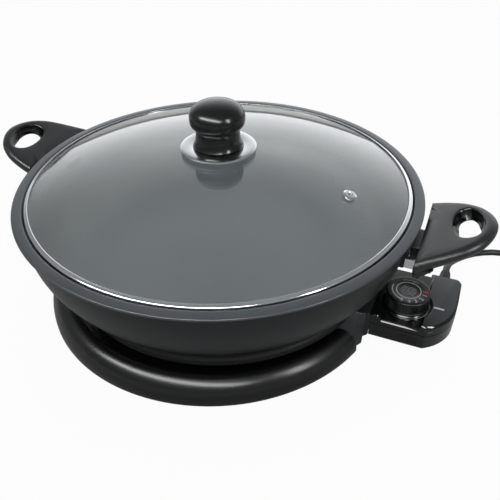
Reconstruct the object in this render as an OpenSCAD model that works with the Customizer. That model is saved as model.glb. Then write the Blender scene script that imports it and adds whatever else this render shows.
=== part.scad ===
// Electric wok: shallow cast pan on a moulded base ring, lift-off glass lid, pull-out control plug.
// Axis of the wok is Z, the table is z = 0, the two handles lie along X.

/* [Pan] */
// Outer diameter of the pan's flange
rim_d = 370; // [340:1:400]
// Width of the flat flange round the mouth
flange_w = 8; // [6:0.5:10]
// Thickness of the flange
flange_t = 2.6; // [2:0.1:3.5]
// Thickness of the pan's side wall
pan_wall = 3.4; // [3:0.1:5]
// Depth from the flange to the cooking floor
pan_depth = 69; // [66:1:70]
// Thickness of the cooking floor
floor_t = 4; // [3.5:0.1:5]
// Diameter of the flat underside
pan_base_d = 299; // [290:1:304]
// Diameter of the flat cooking floor
cook_floor_d = 220; // [180:1:240]
// Depth of the step that carries the lid
lid_step = 7; // [6:0.5:9]

/* [Heater] */
// Diameter of the ring that the heating element follows
element_d = 170; // [160:1:174]
// Thickness of the heating element's tube
element_tube_d = 8; // [6.5:0.5:9]
// Bend radius of the element's two tails
element_bend = 10; // [8:0.5:12]
// Angle from the plug side at which the ring turns into a tail
element_gap = 15; // [14:0.5:16]
// Height of the collar under the pan
collar_h = 16.8; // [16:0.1:18]
// Outer diameter of the collar
collar_d = 296; // [288:1:298]
// Sheet thickness of the heat shield
shield_t = 1.5; // [1:0.1:2]
// Diameter of the shield's deep centre well
well_d = 224; // [216:1:230]
// Depth of that well below the collar
well_depth = 10; // [9:0.5:11]

/* [Base] */
// Outer diameter of the base ring
base_d = 337; // [330:1:345]
// Height of the crest of the base ring
crest_h = 24.5; // [22:0.5:26]
// Diameter of the crest
crest_d = 315; // [308:1:318]
// Wall of the base moulding
base_wall = 3; // [2.5:0.1:4]
// Height of the base's inner deck
deck_h = 17; // [16:0.5:17.5]
// Rise of the base's middle above its deck
pedestal_rise = 2.9; // [2.5:0.1:3.5]
// Half width of the notch that clears the control plug
notch_half = 42; // [41:0.5:46]
// Number of stiffening ribs under the base
rib_count = 12; // [8:2:16]
// Number of screws that hold the base to the pan
base_screws_n = 3; // [3:1:4]
// Radius of the circle of base screws
base_screw_r = 60; // [54:1:66]
// Diameter of the base screws' shanks
base_screw_d = 4; // [3:0.5:5]
// How far the rubber ring stands below the base
foot_proud = 1; // [0.6:0.1:2]

/* [Handles] */
// Width of a handle where it meets the pan
handle_w = 86; // [80:1:92]
// Gap between the flange and a handle's inner end
handle_gap = 3; // [2:0.5:6]
// Reach of a handle from its inner end to its tip
handle_reach = 56; // [50:1:60]
// Thickness of a handle
handle_t = 14; // [12:0.5:16]
// Upward tilt of a handle
handle_tilt = 19; // [12:1:22]
// Drop of a handle's middle below the flange at its inner end
handle_drop = 11.5; // [10:0.5:13]
// Turn of the two handles about the wok's axis
handle_turn = -1.4; // [-3:0.1:3]
// Length of the finger hole across the handle
finger_w = 57; // [50:1:60]
// Width of the finger hole along the handle
finger_l = 22; // [20:0.5:24]
// Diameter of the handle screws
handle_screw_d = 5; // [4:0.5:6]
// Distance between the two arms of a handle bracket
bracket_w = 48; // [40:1:52]
// Height of the bracket's sheet
bracket_h = 9; // [8:0.5:11]
// Sheet thickness of the bracket
bracket_t = 1.6; // [1.2:0.1:2]

/* [Lid] */
// Thickness of the glass
glass_t = 4; // [3:0.1:5]
// Height of the glass dome over its edge
dome_h = 32; // [26:1:40]
// Width of the steel band seen from above
band_w = 3.6; // [3.2:0.1:5]
// Sheet thickness of the steel band
band_t = 0.9; // [0.7:0.1:1.2]
// Height of the steel band
band_h = 8; // [7.5:0.1:9]
// Clearance between the band and the pan's step
lid_clear = 1.2; // [0.8:0.1:1.5]
// Distance of the steam vent from the lid's edge
vent_edge = 50.4; // [40:0.2:70]
// Bearing of the steam vent from the right handle
vent_angle = -4; // [-30:1:30]
// Inner diameter of the vent eyelet
vent_d = 4; // [3:0.5:5]
// Diameter of the steel disc under the knob
disc_d = 68; // [60:1:72]
// Diameter of the knob's cap
knob_d = 49; // [44:1:54]
// Height of the knob over its disc
knob_h = 40; // [36:1:44]
// Diameter of the knob's neck
knob_neck_d = 39; // [34:1:42]
// Diameter of the knob screw
knob_screw_d = 5; // [4:0.5:6]

/* [Control plug] */
// Width of the control plug
plug_w = 78; // [74:1:80]
// Length of the control plug outside its socket
plug_l = 69.6; // [66:0.2:74]
// Distance of the socket's mating face from the wok's axis
socket_x = 160; // [158:0.5:162]
// Height of the control plug's casing under the dial
plug_h = 21.5; // [21:0.5:24]
// Height of the raised end block over that casing
block_rise = 4; // [2:0.5:5]
// Length of the raised end block
block_l = 28; // [24:1:30]
// Wall of the control plug's casing
case_wall = 2.5; // [2:0.1:3]
// Diameter of the temperature dial
dial_d = 39.5; // [36:0.5:41]
// Height of the temperature dial
dial_h = 13.5; // [11:0.5:15]
// Number of ribs round the dial
dial_ribs = 48; // [36:2:60]
// Distance of the dial from the mating face
dial_x = 25.6; // [24:0.2:27]
// Offset of the dial towards the front
dial_y = -10; // [-12:0.5:-8]
// Full turn of the dial in degrees
dial_turn = 270; // [180:10:300]
// Diameter of the dial's shaft
shaft_d = 6; // [5:0.5:7]
// Diameter of the contact pins
pin_d = 4.8; // [4:0.1:5.5]
// Diameter of the temperature probe
probe_d = 8; // [6:0.5:9]
// How far the probe reaches in from the mating face
probe_reach = 94; // [80:1:96]
// How far the nose reaches into the socket
nose_l = 34; // [30:0.5:35]
// Clearance round the nose in its socket
nose_clear = 0.5; // [0.3:0.1:0.8]

/* [Cord] */
// Diameter of the mains cord
cord_d = 6.6; // [6:0.2:7.2]
// Mean diameter of the cord's coil
coil_d = 70; // [66:1:76]
// Number of turns in the coil
coil_turns = 4.25; // [4.25:1:6.25]
// Distance between neighbouring turns
coil_pitch = 7.2; // [7:0.1:7.6]
// Diameter of the mains plug's face
mains_d = 37; // [35:0.5:40]
// Length of the mains plug's body
mains_l = 40; // [36:1:46]

/* [Hidden] */

seat = 0.3;          // gap left between pieces that rest on each other
run_fit = 0.08;      // radial clearance of a running fit
eps = 0.01;
round_fn = 180;      // facets shown on the large revolved pieces
small_fn = 48;

// Pan
pedestal_z = deck_h + pedestal_rise;     // heights are stacked up from the base's deck
well_z = pedestal_z + seat;
collar_z = well_z + well_depth;
under_z = collar_z + collar_h;
floor_z = under_z + floor_t;
rim_height = floor_z + pan_depth;
rim_r = rim_d / 2;
mouth_r = rim_r - flange_w;              // edge between flange and lid step
step_r = mouth_r - 1.4;                  // wall of the lid step
ledge_z = rim_height - lid_step;
pan_base_r = pan_base_d / 2;
wall_top_r = step_r + pan_wall - 0.6;    // outside of the wall below the flange
band_r = step_r - lid_clear;

// Heat shield and socket
collar_r = collar_d / 2;
well_r = well_d / 2;
guard_half = plug_w / 2;
guard_out = socket_x;
guard_in = guard_out - 42;               // inner end of the socket
guard_wall = 2.4;
plug_bottom = deck_h - 3;
guard_top = plug_bottom + plug_h + 4.5;
guard_foot = deck_h + 0.6;
pin_z = plug_bottom + 13;
element_r = element_d / 2;
element_z = under_z - seat - element_tube_d / 2;
tail_y = (element_r + element_bend) * sin(element_gap) - element_bend;
tail_x = (element_r + element_bend) * cos(element_gap);
tail_end = guard_in - 5;

// Base
base_r = base_d / 2;
crest_r = crest_d / 2;
deck_r = crest_r - 6.5;
pedestal_r = well_r - 7;
notch_x = guard_out - 9.5;
base_shift = [-2.3, -1, 0];              // the base moulding sits a little off the pan's axis
foot_r_out = base_r - 5.5;
foot_w = 6;

// Handles
handle_in = rim_r + handle_gap;
handle_z = rim_height - handle_drop;
pad_x = wall_top_r + 0.8;                // face of the cast pad that the bracket sits on
pad_half = 22.5;
rivet_y = 18.5;
bracket_z = handle_z - 14;
bracket_out = handle_in + 13;            // outer end of the bracket's arms
tip_r = handle_w / 2 - 5;
hand_corner = 26;                        // corner radius at a handle's outer end
neck_in = pad_x + bracket_t + 0.5;       // inner face of a handle's neck

// Lid
dome_r = (pow(band_r - 2.5, 2) + pow(dome_h, 2)) / (2 * dome_h);
band_z = ledge_z + seat;
edge_z = band_z + band_h - 1.3;          // top of the glass at its edge
dome_z = edge_z + dome_h - dome_r;       // centre of the dome's sphere
glass_r = band_r - band_t - 0.7;
crown_z = edge_z + dome_h;
vent_r = band_r - vent_edge;
gasket_t = 2;
disc_z = crown_z + 0.15 + gasket_t + 0.1;
disc_t = 1.2;
knob_z = disc_z + disc_t + 0.1;
vent_tilt = asin(vent_r / dome_r);

// Control plug
face_x = guard_out + 0.4;
plug_end = face_x + plug_l;
plug_half = plug_w / 2;
case_top = plug_bottom + plug_h;
block_x = plug_end - block_l;
split_z = plug_bottom + 15;
dial_cx = face_x + dial_x;
dial_z = case_top + 3;
front_r = 42.5;                          // large round corner at the front end of the casing
front_c = [plug_end - 0.5 - front_r, -2];
front_a = asin((plug_half - 2.2) / front_r);
back_r = 6;
exit_x = plug_end - 16;
relief_l = 21;
nose_half = guard_half - guard_wall - nose_clear;
bay_z = guard_foot + guard_wall;
nose_bottom = bay_z + nose_clear;
nose_top = guard_top - guard_wall - nose_clear;

// Cord: hand-chosen points from the strain relief to the coil
cord_r = cord_d / 2;
exit_y = plug_half + relief_l;
cord_z = 3.4;
coil_start = [322, 150, cord_z + 0.9];
route = [
    [214, 60, 27], [214, 67, 27], [214.8, 75, 25.6], [216.6, 84, 22.4], [219.2, 94, 18],
    [222.6, 105, 13], [227, 116, 8.8], [232.5, 126, 5.8], [239.5, 134.5, 4], [248, 141, 3.4],
    [258, 145.6, 3.4], [270, 148.6, 3.4], [284, 150, 3.4], [303, 150, 4.1], [312, 150, 4.3],
    [322, 150, 4.3]
];

// ---------------------------------------------------------------- helpers

// Points of a quadratic curve from p0 to p2, pulled towards p1
function curve(p0, p1, p2, n) =
    [for (i = [0:n]) let (t = i / n) (1 - t) * (1 - t) * p0 + 2 * t * (1 - t) * p1 + t * t * p2];

// Points of an arc round c
function arc(c, r, a0, a1, n) =
    [for (i = [0:n]) let (a = a0 + (a1 - a0) * i / n) c + r * [cos(a), sin(a)]];

function unit(v) = v / norm(v);

// Direction of travel at point i of a path
function heading(path, i) =
    unit(path[min(i + 1, len(path) - 1)] - path[max(i - 1, 0)]);

// Tube of radius r along a path, one ring of points at each path point
module tube(path, r, sides) {
    points = [
        for (i = [0:len(path) - 1])
            let (t = heading(path, i), side = unit(cross(t, [0, 0, 1])), up = cross(side, t))
            for (k = [0:sides - 1])
                let (a = 360 * (k + 0.5) / sides)
                path[i] + r * (cos(a) * side + sin(a) * up)
    ];
    last = len(path) - 1;
    faces = concat(
        [[for (k = [0:sides - 1]) k]],
        [
            for (i = [0:last - 1])
                for (k = [0:sides - 1])
                    let (a = i * sides + k, b = i * sides + (k + 1) % sides)
                    each [[a, a + sides, b], [b, a + sides, b + sides]]
        ],
        [[for (k = [sides - 1:-1:0]) last * sides + k]]
    );
    polyhedron(points = points, faces = faces, convexity = 12);
}

// Plate in the XZ plane with its width along Y
module across(width) {
    rotate([90, 0, 0]) linear_extrude(width, center = true) children();
}

// Thin level slice, for hulls
module slice(z) {
    translate([0, 0, z]) linear_extrude(eps) children();
}

// Places a piece at both handles
module both_sides() {
    for (a = [0, 180])
        rotate([0, 0, a + handle_turn]) children();
}

// Pan-head screw with its axis along -Z and the underside of its head at z = 0
module screw(d, length) {
    head_r = d * 1.05;
    difference() {
        union() {
            rotate_extrude($fn = small_fn)
                polygon(concat([[0, 0], [head_r, 0], [head_r, -d * 0.35]],
                               curve([head_r, -d * 0.35], [head_r * 0.9, -d * 0.7], [0, -d * 0.72], 6)));
            translate([0, 0, -eps]) cylinder(h = length, r = d / 2, $fn = small_fn);
        }
        for (a = [0, 90])
            rotate([0, 0, a]) translate([0, 0, -d * 0.6]) cube([d * 1.2, d * 0.2, d * 0.6], center = true);
    }
}

// ---------------------------------------------------------------- pan and heater

module pan_profile() {
    outer = curve([wall_top_r, ledge_z - 1], [wall_top_r + 4, under_z + 29], [pan_base_r, under_z], 20);
    inner = curve([cook_floor_d / 2, floor_z], [step_r - 2, floor_z + 1], [step_r - 5, ledge_z - 4], 20);
    polygon(concat(
        [[0, under_z], [0, floor_z]],
        inner,
        [[step_r - 4.2, ledge_z], [step_r, ledge_z], [step_r, rim_height - 1]],
        [[mouth_r - 0.6, rim_height - 0.1], [mouth_r, rim_height]],
        [[rim_r - 1.5, rim_height - 0.4]],
        arc([rim_r - 1.3, rim_height - 0.4 - flange_t / 2], flange_t / 2, 80, -80, 8),
        [[wall_top_r + 1.5, rim_height - flange_t - 0.5], [wall_top_r, rim_height - flange_t - 3]],
        outer
    ));
}

module pan() {
    post_r = 5.5;
    color("#35383a")
    difference() {
        union() {
            rotate_extrude($fn = round_fn) pan_profile();
            both_sides() handle_pad();
            for (i = [0:base_screws_n - 1])
                rotate([0, 0, 90 + 360 * i / base_screws_n])
                    translate([base_screw_r, 0, well_z + shield_t + seat])
                        cylinder(h = under_z - well_z - shield_t - seat + 1, r = post_r, $fn = small_fn);
            for (r = [element_r - element_tube_d / 2 - 2.6, element_r + element_tube_d / 2 + 0.6])
                element_rib(r);
        }
        both_sides()
            translate([pad_x - 12, 0, bracket_z]) rotate([0, 90, 0])
                cylinder(h = 20, r = handle_screw_d / 2 + run_fit, $fn = small_fn);
        for (i = [0:base_screws_n - 1])
            rotate([0, 0, 90 + 360 * i / base_screws_n])
                translate([base_screw_r, 0, well_z])
                    cylinder(h = 19, r = base_screw_d / 2 + run_fit, $fn = small_fn);
    }
}

// Cast rib that keeps the element in its place, open towards the plug
module element_rib(r) {
    rib_w = 2;
    rotate([0, 0, element_gap + 8])
        rotate_extrude(angle = 344 - 2 * element_gap, $fn = round_fn)
            translate([r, under_z - 4]) square([rib_w, 5]);
}

// Cast pad on the wall for a handle bracket
module handle_pad() {
    pad_h = bracket_h + 4;
    intersection() {
        translate([pad_x - 9, -pad_half, bracket_z - pad_h / 2]) cube([9, 2 * pad_half, pad_h]);
        difference() {
            cylinder(h = rim_height, r = rim_r, $fn = round_fn);
            rotate_extrude($fn = round_fn)
                polygon(concat([[0, 0]], [[pan_base_r - 2, under_z]],
                    curve([pan_base_r - 2, under_z], [wall_top_r + 2, under_z + 29],
                          [wall_top_r - 2, ledge_z - 1], 20), [[wall_top_r - 2, rim_height], [0, rim_height]]));
        }
    }
}

module heating_element() {
    color("#8d8f90")
    translate([0, 0, element_z]) {
        rotate([0, 0, element_gap])
            rotate_extrude(angle = 360 - 2 * element_gap, $fn = round_fn)
                translate([element_r, 0]) circle(r = element_tube_d / 2, $fn = small_fn);
        element_tail();
        mirror([0, 1, 0]) element_tail();
    }
}

// One end of the element: a bend, a straight run and its terminal, with a collar at each joint
module element_tail() {
    r = element_tube_d / 2;
    joint_r = r + 0.3;
    translate([tail_x, tail_y + element_bend, 0])
        rotate([0, 0, 180 + element_gap])
            rotate_extrude(angle = 90 - element_gap, $fn = small_fn)
                translate([element_bend, 0]) circle(r = r, $fn = small_fn);
    rotate([0, 0, element_gap]) translate([element_r, 0, 0]) rotate([90, 0, 0])
        cylinder(h = 3, r = joint_r, center = true, $fn = small_fn);
    translate([tail_x, tail_y, 0]) rotate([0, 90, 0]) {
        translate([0, 0, -1.5]) cylinder(h = 3, r = joint_r, $fn = small_fn);
        cylinder(h = tail_end - tail_x, r = r, $fn = small_fn);
        cylinder(h = tail_end - tail_x + 4.4, r = 1.6, $fn = small_fn);
    }
}

strap_x = tail_end + 1.6;
strap_t = 0.8;

module terminal_straps() {
    color("#c9a24a")
    for (s = [-1, 1])
        difference() {
            translate([strap_x, s * tail_y - 3.5, pin_z - 4.5])
                cube([strap_t, 7, element_z - pin_z + 8]);
            translate([strap_x - 1, s * tail_y, element_z]) rotate([0, 90, 0])
                cylinder(h = 3, r = 1.6 + run_fit, $fn = small_fn);
            translate([strap_x - 1, s * tail_y, pin_z]) rotate([0, 90, 0])
                cylinder(h = 3, r = 1.5 + run_fit, $fn = small_fn);
        }
}

module contact_pins() {
    color("#d8d8d2")
    for (s = [-1, 1])
        translate([0, s * tail_y, pin_z]) rotate([0, 90, 0]) {
            translate([0, 0, strap_x - 1]) cylinder(h = 3, r = 1.5, $fn = small_fn);
            translate([0, 0, strap_x + strap_t + 0.1])
                cylinder(h = guard_in - strap_x - strap_t + 3, r = pin_d / 2, $fn = small_fn);
            translate([0, 0, guard_in + 2.9]) cylinder(h = 31, r = pin_d / 2, $fn = small_fn);
            translate([0, 0, guard_in + 33.9]) cylinder(h = 1.4, r1 = pin_d / 2, r2 = pin_d / 2 - 0.9, $fn = 48);
        }
}

module probe_sleeve() {
    sleeve_in = 60;
    sleeve_out = guard_in - 1;
    color("#9c9d9e")
    difference() {
        union() {
            translate([sleeve_in, 0, pin_z]) rotate([0, 90, 0])
                cylinder(h = sleeve_out - sleeve_in, r = probe_d / 2 + 1, $fn = small_fn);
            translate([sleeve_in + 2, -1.5, pin_z]) cube([13, 3, under_z - seat - pin_z]);
        }
        translate([sleeve_in - 1, 0, pin_z]) rotate([0, 90, 0])
            cylinder(h = sleeve_out - sleeve_in + 2, r = probe_d / 2 + run_fit, $fn = small_fn);
    }
}

// Stepped collar under the pan, with a deep well that holds the base
module heat_shield() {
    bead = 1.6;
    lip_z = under_z - seat;
    groove_z = collar_z + collar_h * 0.62;
    color("#46494b")
    difference() {
        rotate_extrude($fn = round_fn)
            polygon([
                [collar_r - shield_t - bead, lip_z], [collar_r, lip_z],
                [collar_r + 0.4, lip_z - 1.2], [collar_r, lip_z - 3.2],
                [collar_r - bead, groove_z], [collar_r - bead, groove_z - 2.4],
                [collar_r - 0.2, groove_z - 4.6], [collar_r, collar_z + 1.4], [collar_r - 1.4, collar_z],
                [well_r, collar_z], [well_r, well_z + 2], [well_r - 2, well_z],
                [9, well_z], [9, well_z + shield_t], [well_r - shield_t - 2, well_z + shield_t],
                [well_r - shield_t, well_z + shield_t + 1.4], [well_r - shield_t, collar_z + shield_t],
                [collar_r - shield_t - bead, collar_z + shield_t]
            ]);
        translate([guard_in - 8, -guard_half - seat, 0])
            cube([60, plug_w + 2 * seat, guard_top + seat]);
        for (i = [0:base_screws_n - 1])
            rotate([0, 0, 90 + 360 * i / base_screws_n])
                translate([base_screw_r, 0, well_z - 1])
                    cylinder(h = 4, r = base_screw_d / 2 + 0.4, $fn = small_fn);
    }
}

// ---------------------------------------------------------------- base

function base_outer() = concat(
    [[base_r - 1.2, foot_proud], [base_r, foot_proud + 1.6], [base_r, foot_proud + 4]],
    curve([base_r, foot_proud + 4], [base_r - 2.4, crest_h - 5], [crest_r + 1.6, crest_h - 0.1], 12),
    arc([crest_r, crest_h - 1.6], 1.6, 80, 170, 5),
    [[deck_r + 2.2, deck_h + 1.4], [deck_r, deck_h]]
);

module base_ring() {
    pedestal_wall = pedestal_r - base_wall;
    color("#2b2d2f")
    difference() {
        union() {
            difference() {
                translate(base_shift) rotate_extrude($fn = round_fn)
                    polygon(concat(
                        base_outer(),
                        [[pedestal_r, deck_h], [pedestal_r, pedestal_z], [12, pedestal_z]],
                        [[12, pedestal_z - base_wall], [pedestal_wall, pedestal_z - base_wall]],
                        [[pedestal_wall, deck_h - base_wall], [deck_r, deck_h - base_wall]],
                        [[crest_r - 2.6, crest_h - 6.5], [crest_r + 1.4, crest_h - 5]],
                        curve([crest_r + 1.4, crest_h - 5], [base_r - 5, crest_h - 8],
                              [base_r - base_wall, foot_proud + 5], 8),
                        [[foot_r_out + 0.4, foot_proud + 5], [foot_r_out + 0.2, foot_proud]]
                    ));
                notch_block();
            }
            translate(base_shift) base_ribs();
            foot_land();
            notch_wall();
        }
        for (i = [0:base_screws_n - 1])
            rotate([0, 0, 90 + 360 * i / base_screws_n])
                translate([base_screw_r, 0, pedestal_z - base_wall - 1])
                    cylinder(h = base_wall + 2, r = base_screw_d / 2 + 0.3, $fn = small_fn);
        // room for the socket above the deck
        translate([guard_in - 1, -guard_half - seat, deck_h + 0.1])
            cube([60, plug_w + 2 * seat, crest_h]);
    }
}

// Room for the control plug at the rim of the base
module notch_block() {
    translate([notch_x, -notch_half, -1]) cube([40, 2 * notch_half, crest_h + 4]);
}

// Wall that closes the moulding at the notch
module notch_wall() {
    intersection() {
        translate(base_shift) rotate_extrude($fn = round_fn)
            polygon(concat(base_outer(), [[deck_r - 8, deck_h], [deck_r - 8, foot_proud]]));
        difference() {
            translate([notch_x - base_wall, -notch_half - base_wall, foot_proud])
                cube([40, 2 * (notch_half + base_wall), crest_h]);
            notch_block();
        }
    }
}

// Ring under the rim that carries the rubber foot, with its groove
module foot_land() {
    difference() {
        translate(base_shift) rotate_extrude($fn = round_fn)
            difference() {
                translate([foot_r_out - foot_w - 2.4, foot_proud])
                    square([foot_w + 5.4, 5.2]);
                translate([foot_r_out - foot_w - 0.1, foot_proud - 1]) square([foot_w + 0.2, 3.8]);
            }
        notch_block();
    }
}

module base_ribs() {
    rib_t = 2;
    rib_in = pedestal_r - base_wall - eps;
    rib_out = foot_r_out - foot_w - 2;
    for (i = [0:rib_count - 1])
        rotate([0, 0, 360 * (i + 0.5) / rib_count])
            translate([rib_in, -rib_t / 2, foot_proud + 2])
                cube([rib_out - rib_in, rib_t, deck_h - base_wall - foot_proud - 2 + eps]);
}

// Rubber ring in the base's groove, left open at the notch
module foot_ring() {
    color("#1c1c1c")
    difference() {
        translate(base_shift) rotate_extrude($fn = round_fn)
            translate([foot_r_out - foot_w, 0]) square([foot_w, foot_proud + 2.5]);
        translate([notch_x - base_wall - 0.2, -notch_half - base_wall - 0.2, -1])
            cube([40, 2 * (notch_half + base_wall + 0.2), 10]);
    }
}

module base_screws() {
    color("#b9bbbc")
    for (i = [0:base_screws_n - 1])
        rotate([0, 0, 90 + 360 * i / base_screws_n])
            translate([base_screw_r, 0, pedestal_z - base_wall - 0.05])
                screw(base_screw_d, 19);
}

// Open socket that the control plug pushes into
module socket_guard() {
    apron_x = notch_x + 0.8;
    bay_top = guard_top - guard_wall;
    color("#232527")
    difference() {
        across(plug_w)
            polygon([
                [guard_in, guard_foot], [apron_x, guard_foot], [apron_x, guard_foot - 8],
                [guard_out - 4.5, guard_foot - 8], [guard_out, plug_bottom],
                [guard_out, guard_top - 1.2], [guard_out - 1.2, guard_top], [guard_in, guard_top]
            ]);
        translate([guard_in + 4, -guard_half + guard_wall, bay_z])
            cube([60, plug_w - 2 * guard_wall, bay_top - bay_z]);
        translate([apron_x + guard_wall, -guard_half + guard_wall, -1])
            cube([60, plug_w - 2 * guard_wall, bay_z - guard_wall + 1]);
        for (s = [-1, 1])
            translate([guard_in - 1, s * tail_y, pin_z]) rotate([0, 90, 0])
                cylinder(h = 6, r = pin_d / 2 + run_fit, $fn = small_fn);
        translate([guard_in - 1, 0, pin_z]) rotate([0, 90, 0])
            cylinder(h = 6, r = probe_d / 2 + 0.5, $fn = small_fn);
    }
}

// ---------------------------------------------------------------- handles

// Plan of a handle, with its inner end at x = 0
module handle_plan(inset) {
    hull() {
        for (s = [-1, 1])
            translate([handle_reach - hand_corner - 2, s * (handle_w / 2 - hand_corner - 4)])
                circle(r = hand_corner - inset, $fn = 56);
        translate([handle_reach - tip_r, 0]) circle(r = tip_r - inset, $fn = 64);
        translate([0, -handle_w / 2 + inset]) square([1, handle_w - 2 * inset]);
    }
}

module finger_plan(grow) {
    bulge = finger_l / 2;
    hull()
        for (s = [-1, 1])
            translate([0, s * (finger_w / 2 - bulge)]) circle(r = bulge + grow, $fn = 40);
}

// Loop handle with a rounded edge, a flared finger hole and a deep block at its inner end
module handle_loop() {
    layers = [[-0.5, 5], [-0.42, 2.6], [-0.2, 0.4], [0.12, 0], [0.38, 1.6], [0.5, 4.2]];
    hole_x = handle_reach - 20;
    block_half = bracket_w / 2 + 6;
    difference() {
        union() {
            translate([handle_in, 0, handle_z]) rotate([0, -handle_tilt, 0])
                hull()
                    for (l = layers)
                        translate([0, 0, l[0] * handle_t]) linear_extrude(eps) handle_plan(l[1]);
            across(2 * block_half)
                polygon([
                    [handle_in, handle_z - 3], [handle_in, bracket_z - bracket_h / 2 - 4],
                    [handle_in + 4, bracket_z - bracket_h / 2 - 5], [handle_in + 15, handle_z - 1]
                ]);
        }
        translate([handle_in, 0, handle_z]) rotate([0, -handle_tilt, 0]) translate([hole_x, 0, 0])
            hull() {
                translate([0, 0, -handle_t / 2 - 1]) linear_extrude(eps) finger_plan(-1.5);
                translate([0, 0, handle_t / 2 + 0.1]) linear_extrude(eps) finger_plan(0.8);
            }
        // the inner end is upright
        translate([handle_in - 30, -60, handle_z - 50]) cube([30, 120, 90]);
    }
}

// Handle with its neck, cut for the bracket's arms and the screw
module handle_body() {
    difference() {
        union() {
            handle_loop();
            translate([neck_in, -14, bracket_z - 3]) cube([handle_in + 1 - neck_in, 28, handle_z - bracket_z - 1]);
        }
        // slots for the bracket's arms
        for (s = [-1, 1])
            translate([handle_in - 1, s * (bracket_w / 2 - bracket_t / 2) - bracket_t / 2 - 0.15,
                       bracket_z - bracket_h / 2 - 0.2])
                cube([bracket_out - handle_in + 1.2, bracket_t + 0.3, bracket_h + 0.4]);
        // screw hole with a flat seat for the head
        translate([neck_in - 1, 0, bracket_z]) rotate([0, 90, 0])
            cylinder(h = 40, r = handle_screw_d / 2 + run_fit, $fn = small_fn);
        translate([handle_in + 7, 0, bracket_z]) rotate([0, 90, 0])
            cylinder(h = 40, r = handle_screw_d * 1.2, $fn = small_fn);
    }
}

module right_handle() {
    color("#2e3032") rotate([0, 0, handle_turn]) handle_body();
}

module left_handle() {
    color("#2e3032") rotate([0, 0, 180 + handle_turn]) handle_body();
}

// Sheet-metal channel between the pan's pad and a handle
module bracket_body() {
    web_x = pad_x + 0.1;
    difference() {
        union() {
            translate([web_x, -bracket_w / 2, bracket_z - bracket_h / 2])
                cube([bracket_t, bracket_w, bracket_h]);
            for (s = [-1, 1])
                translate([web_x, s * (bracket_w / 2 - bracket_t / 2) - bracket_t / 2,
                           bracket_z - bracket_h / 2])
                    cube([bracket_out - web_x, bracket_t, bracket_h]);
        }
        translate([web_x - 1, 0, bracket_z]) rotate([0, 90, 0])
            cylinder(h = 4, r = handle_screw_d / 2 + run_fit, $fn = small_fn);
        for (s = [-1, 1])
            translate([web_x - 1, s * rivet_y, bracket_z]) rotate([0, 90, 0])
                cylinder(h = 4, r = 1.6 + run_fit, $fn = small_fn);
    }
}

module right_bracket() {
    color("#c8cacb") rotate([0, 0, handle_turn]) bracket_body();
}

module left_bracket() {
    color("#c8cacb") rotate([0, 0, 180 + handle_turn]) bracket_body();
}

module handle_screws() {
    color("#b9bbbc")
    both_sides()
        translate([handle_in + 7 + 0.05, 0, bracket_z]) rotate([0, -90, 0])
            screw(handle_screw_d, handle_in + 7 - pad_x + 9);
}

module bracket_rivets() {
    color("#b9bbbc")
    both_sides()
        for (s = [-1, 1])
            translate([pad_x + 0.1 + bracket_t + 0.05, s * rivet_y, bracket_z]) rotate([0, 90, 0]) {
                cylinder(h = 1.3, r1 = 3, r2 = 2.2, $fn = small_fn);
                translate([0, 0, -bracket_t - 0.1]) cylinder(h = bracket_t + 0.2, r = 1.6, $fn = small_fn);
            }
}

// ---------------------------------------------------------------- lid

// Height of the glass's top face at distance r from the axis
function dome_at(r) = dome_z + sqrt(dome_r * dome_r - r * r);

// Height of the glass's lower face at distance r from the axis
function dome_under(r) = dome_z + sqrt(pow(dome_r - glass_t, 2) - r * r);

module lid_glass() {
    top_angle = acos(glass_r / dome_r);
    low_angle = acos((glass_r - 0.9) / (dome_r - glass_t));
    color("#cfdad8", 0.45)
    difference() {
        rotate_extrude($fn = round_fn)
            polygon(concat(
                arc([0, dome_z], dome_r, top_angle, 90, 24),
                arc([0, dome_z], dome_r - glass_t, 90, low_angle, 24)
            ));
        translate([0, 0, crown_z - 10]) cylinder(h = 20, r = knob_screw_d / 2 + 1, $fn = small_fn);
        at_vent() translate([0, 0, -10]) cylinder(h = 20, r = vent_d / 2 + 1.5, $fn = small_fn);
    }
}

// Places children at the vent, square to the glass, with z = 0 on its top face
module at_vent() {
    rotate([0, 0, vent_angle]) translate([0, 0, dome_z]) rotate([0, vent_tilt, 0])
        translate([0, 0, dome_r]) children();
}

module lid_band() {
    lip_r = band_r - band_w;
    lip_top = dome_at(lip_r) + 0.25 + band_t;
    shoulder = dome_at(band_r - 1.6) + 0.35 + band_t;
    color("#d5d7d8")
    rotate_extrude($fn = round_fn)
        polygon([
            [lip_r + 1.2, band_z], [band_r - 0.8, band_z], [band_r, band_z + 0.8],
            [band_r, shoulder - 1], [band_r - 0.8, shoulder - 0.15], [band_r - 2, shoulder],
            [lip_r, lip_top], [lip_r, lip_top - band_t],
            [band_r - 2, shoulder - band_t], [band_r - band_t, shoulder - 1.3],
            [band_r - band_t, band_z + band_t], [lip_r + 1.2, band_z + band_t]
        ]);
}

module vent_eyelet() {
    bore_r = vent_d / 2;
    tube_r = vent_d / 2 + 1.2;
    color("#c8cacb")
    at_vent()
        rotate_extrude($fn = small_fn)
            polygon([
                [bore_r, -glass_t - 1.4], [tube_r + 2, -glass_t - 1.1], [tube_r + 2, -glass_t - 0.4],
                [tube_r, -glass_t - 0.4], [tube_r, 0.2], [tube_r + 2.6, 0.2], [tube_r + 2.6, 0.8],
                [tube_r + 1.2, 1.6], [bore_r + 0.5, 1.7], [bore_r, 1.2]
            ]);
}

module knob_disc() {
    r = disc_d / 2;
    color("#c8cacb")
    rotate_extrude($fn = 96)
        polygon([
            [knob_screw_d / 2 + 0.4, disc_z], [r - 5, disc_z], [r - 1, disc_z - 0.9], [r, disc_z - 0.7],
            [r - 0.2, disc_z + 0.2], [r - 4.6, disc_z + disc_t], [knob_screw_d / 2 + 0.4, disc_z + disc_t]
        ]);
}

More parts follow.
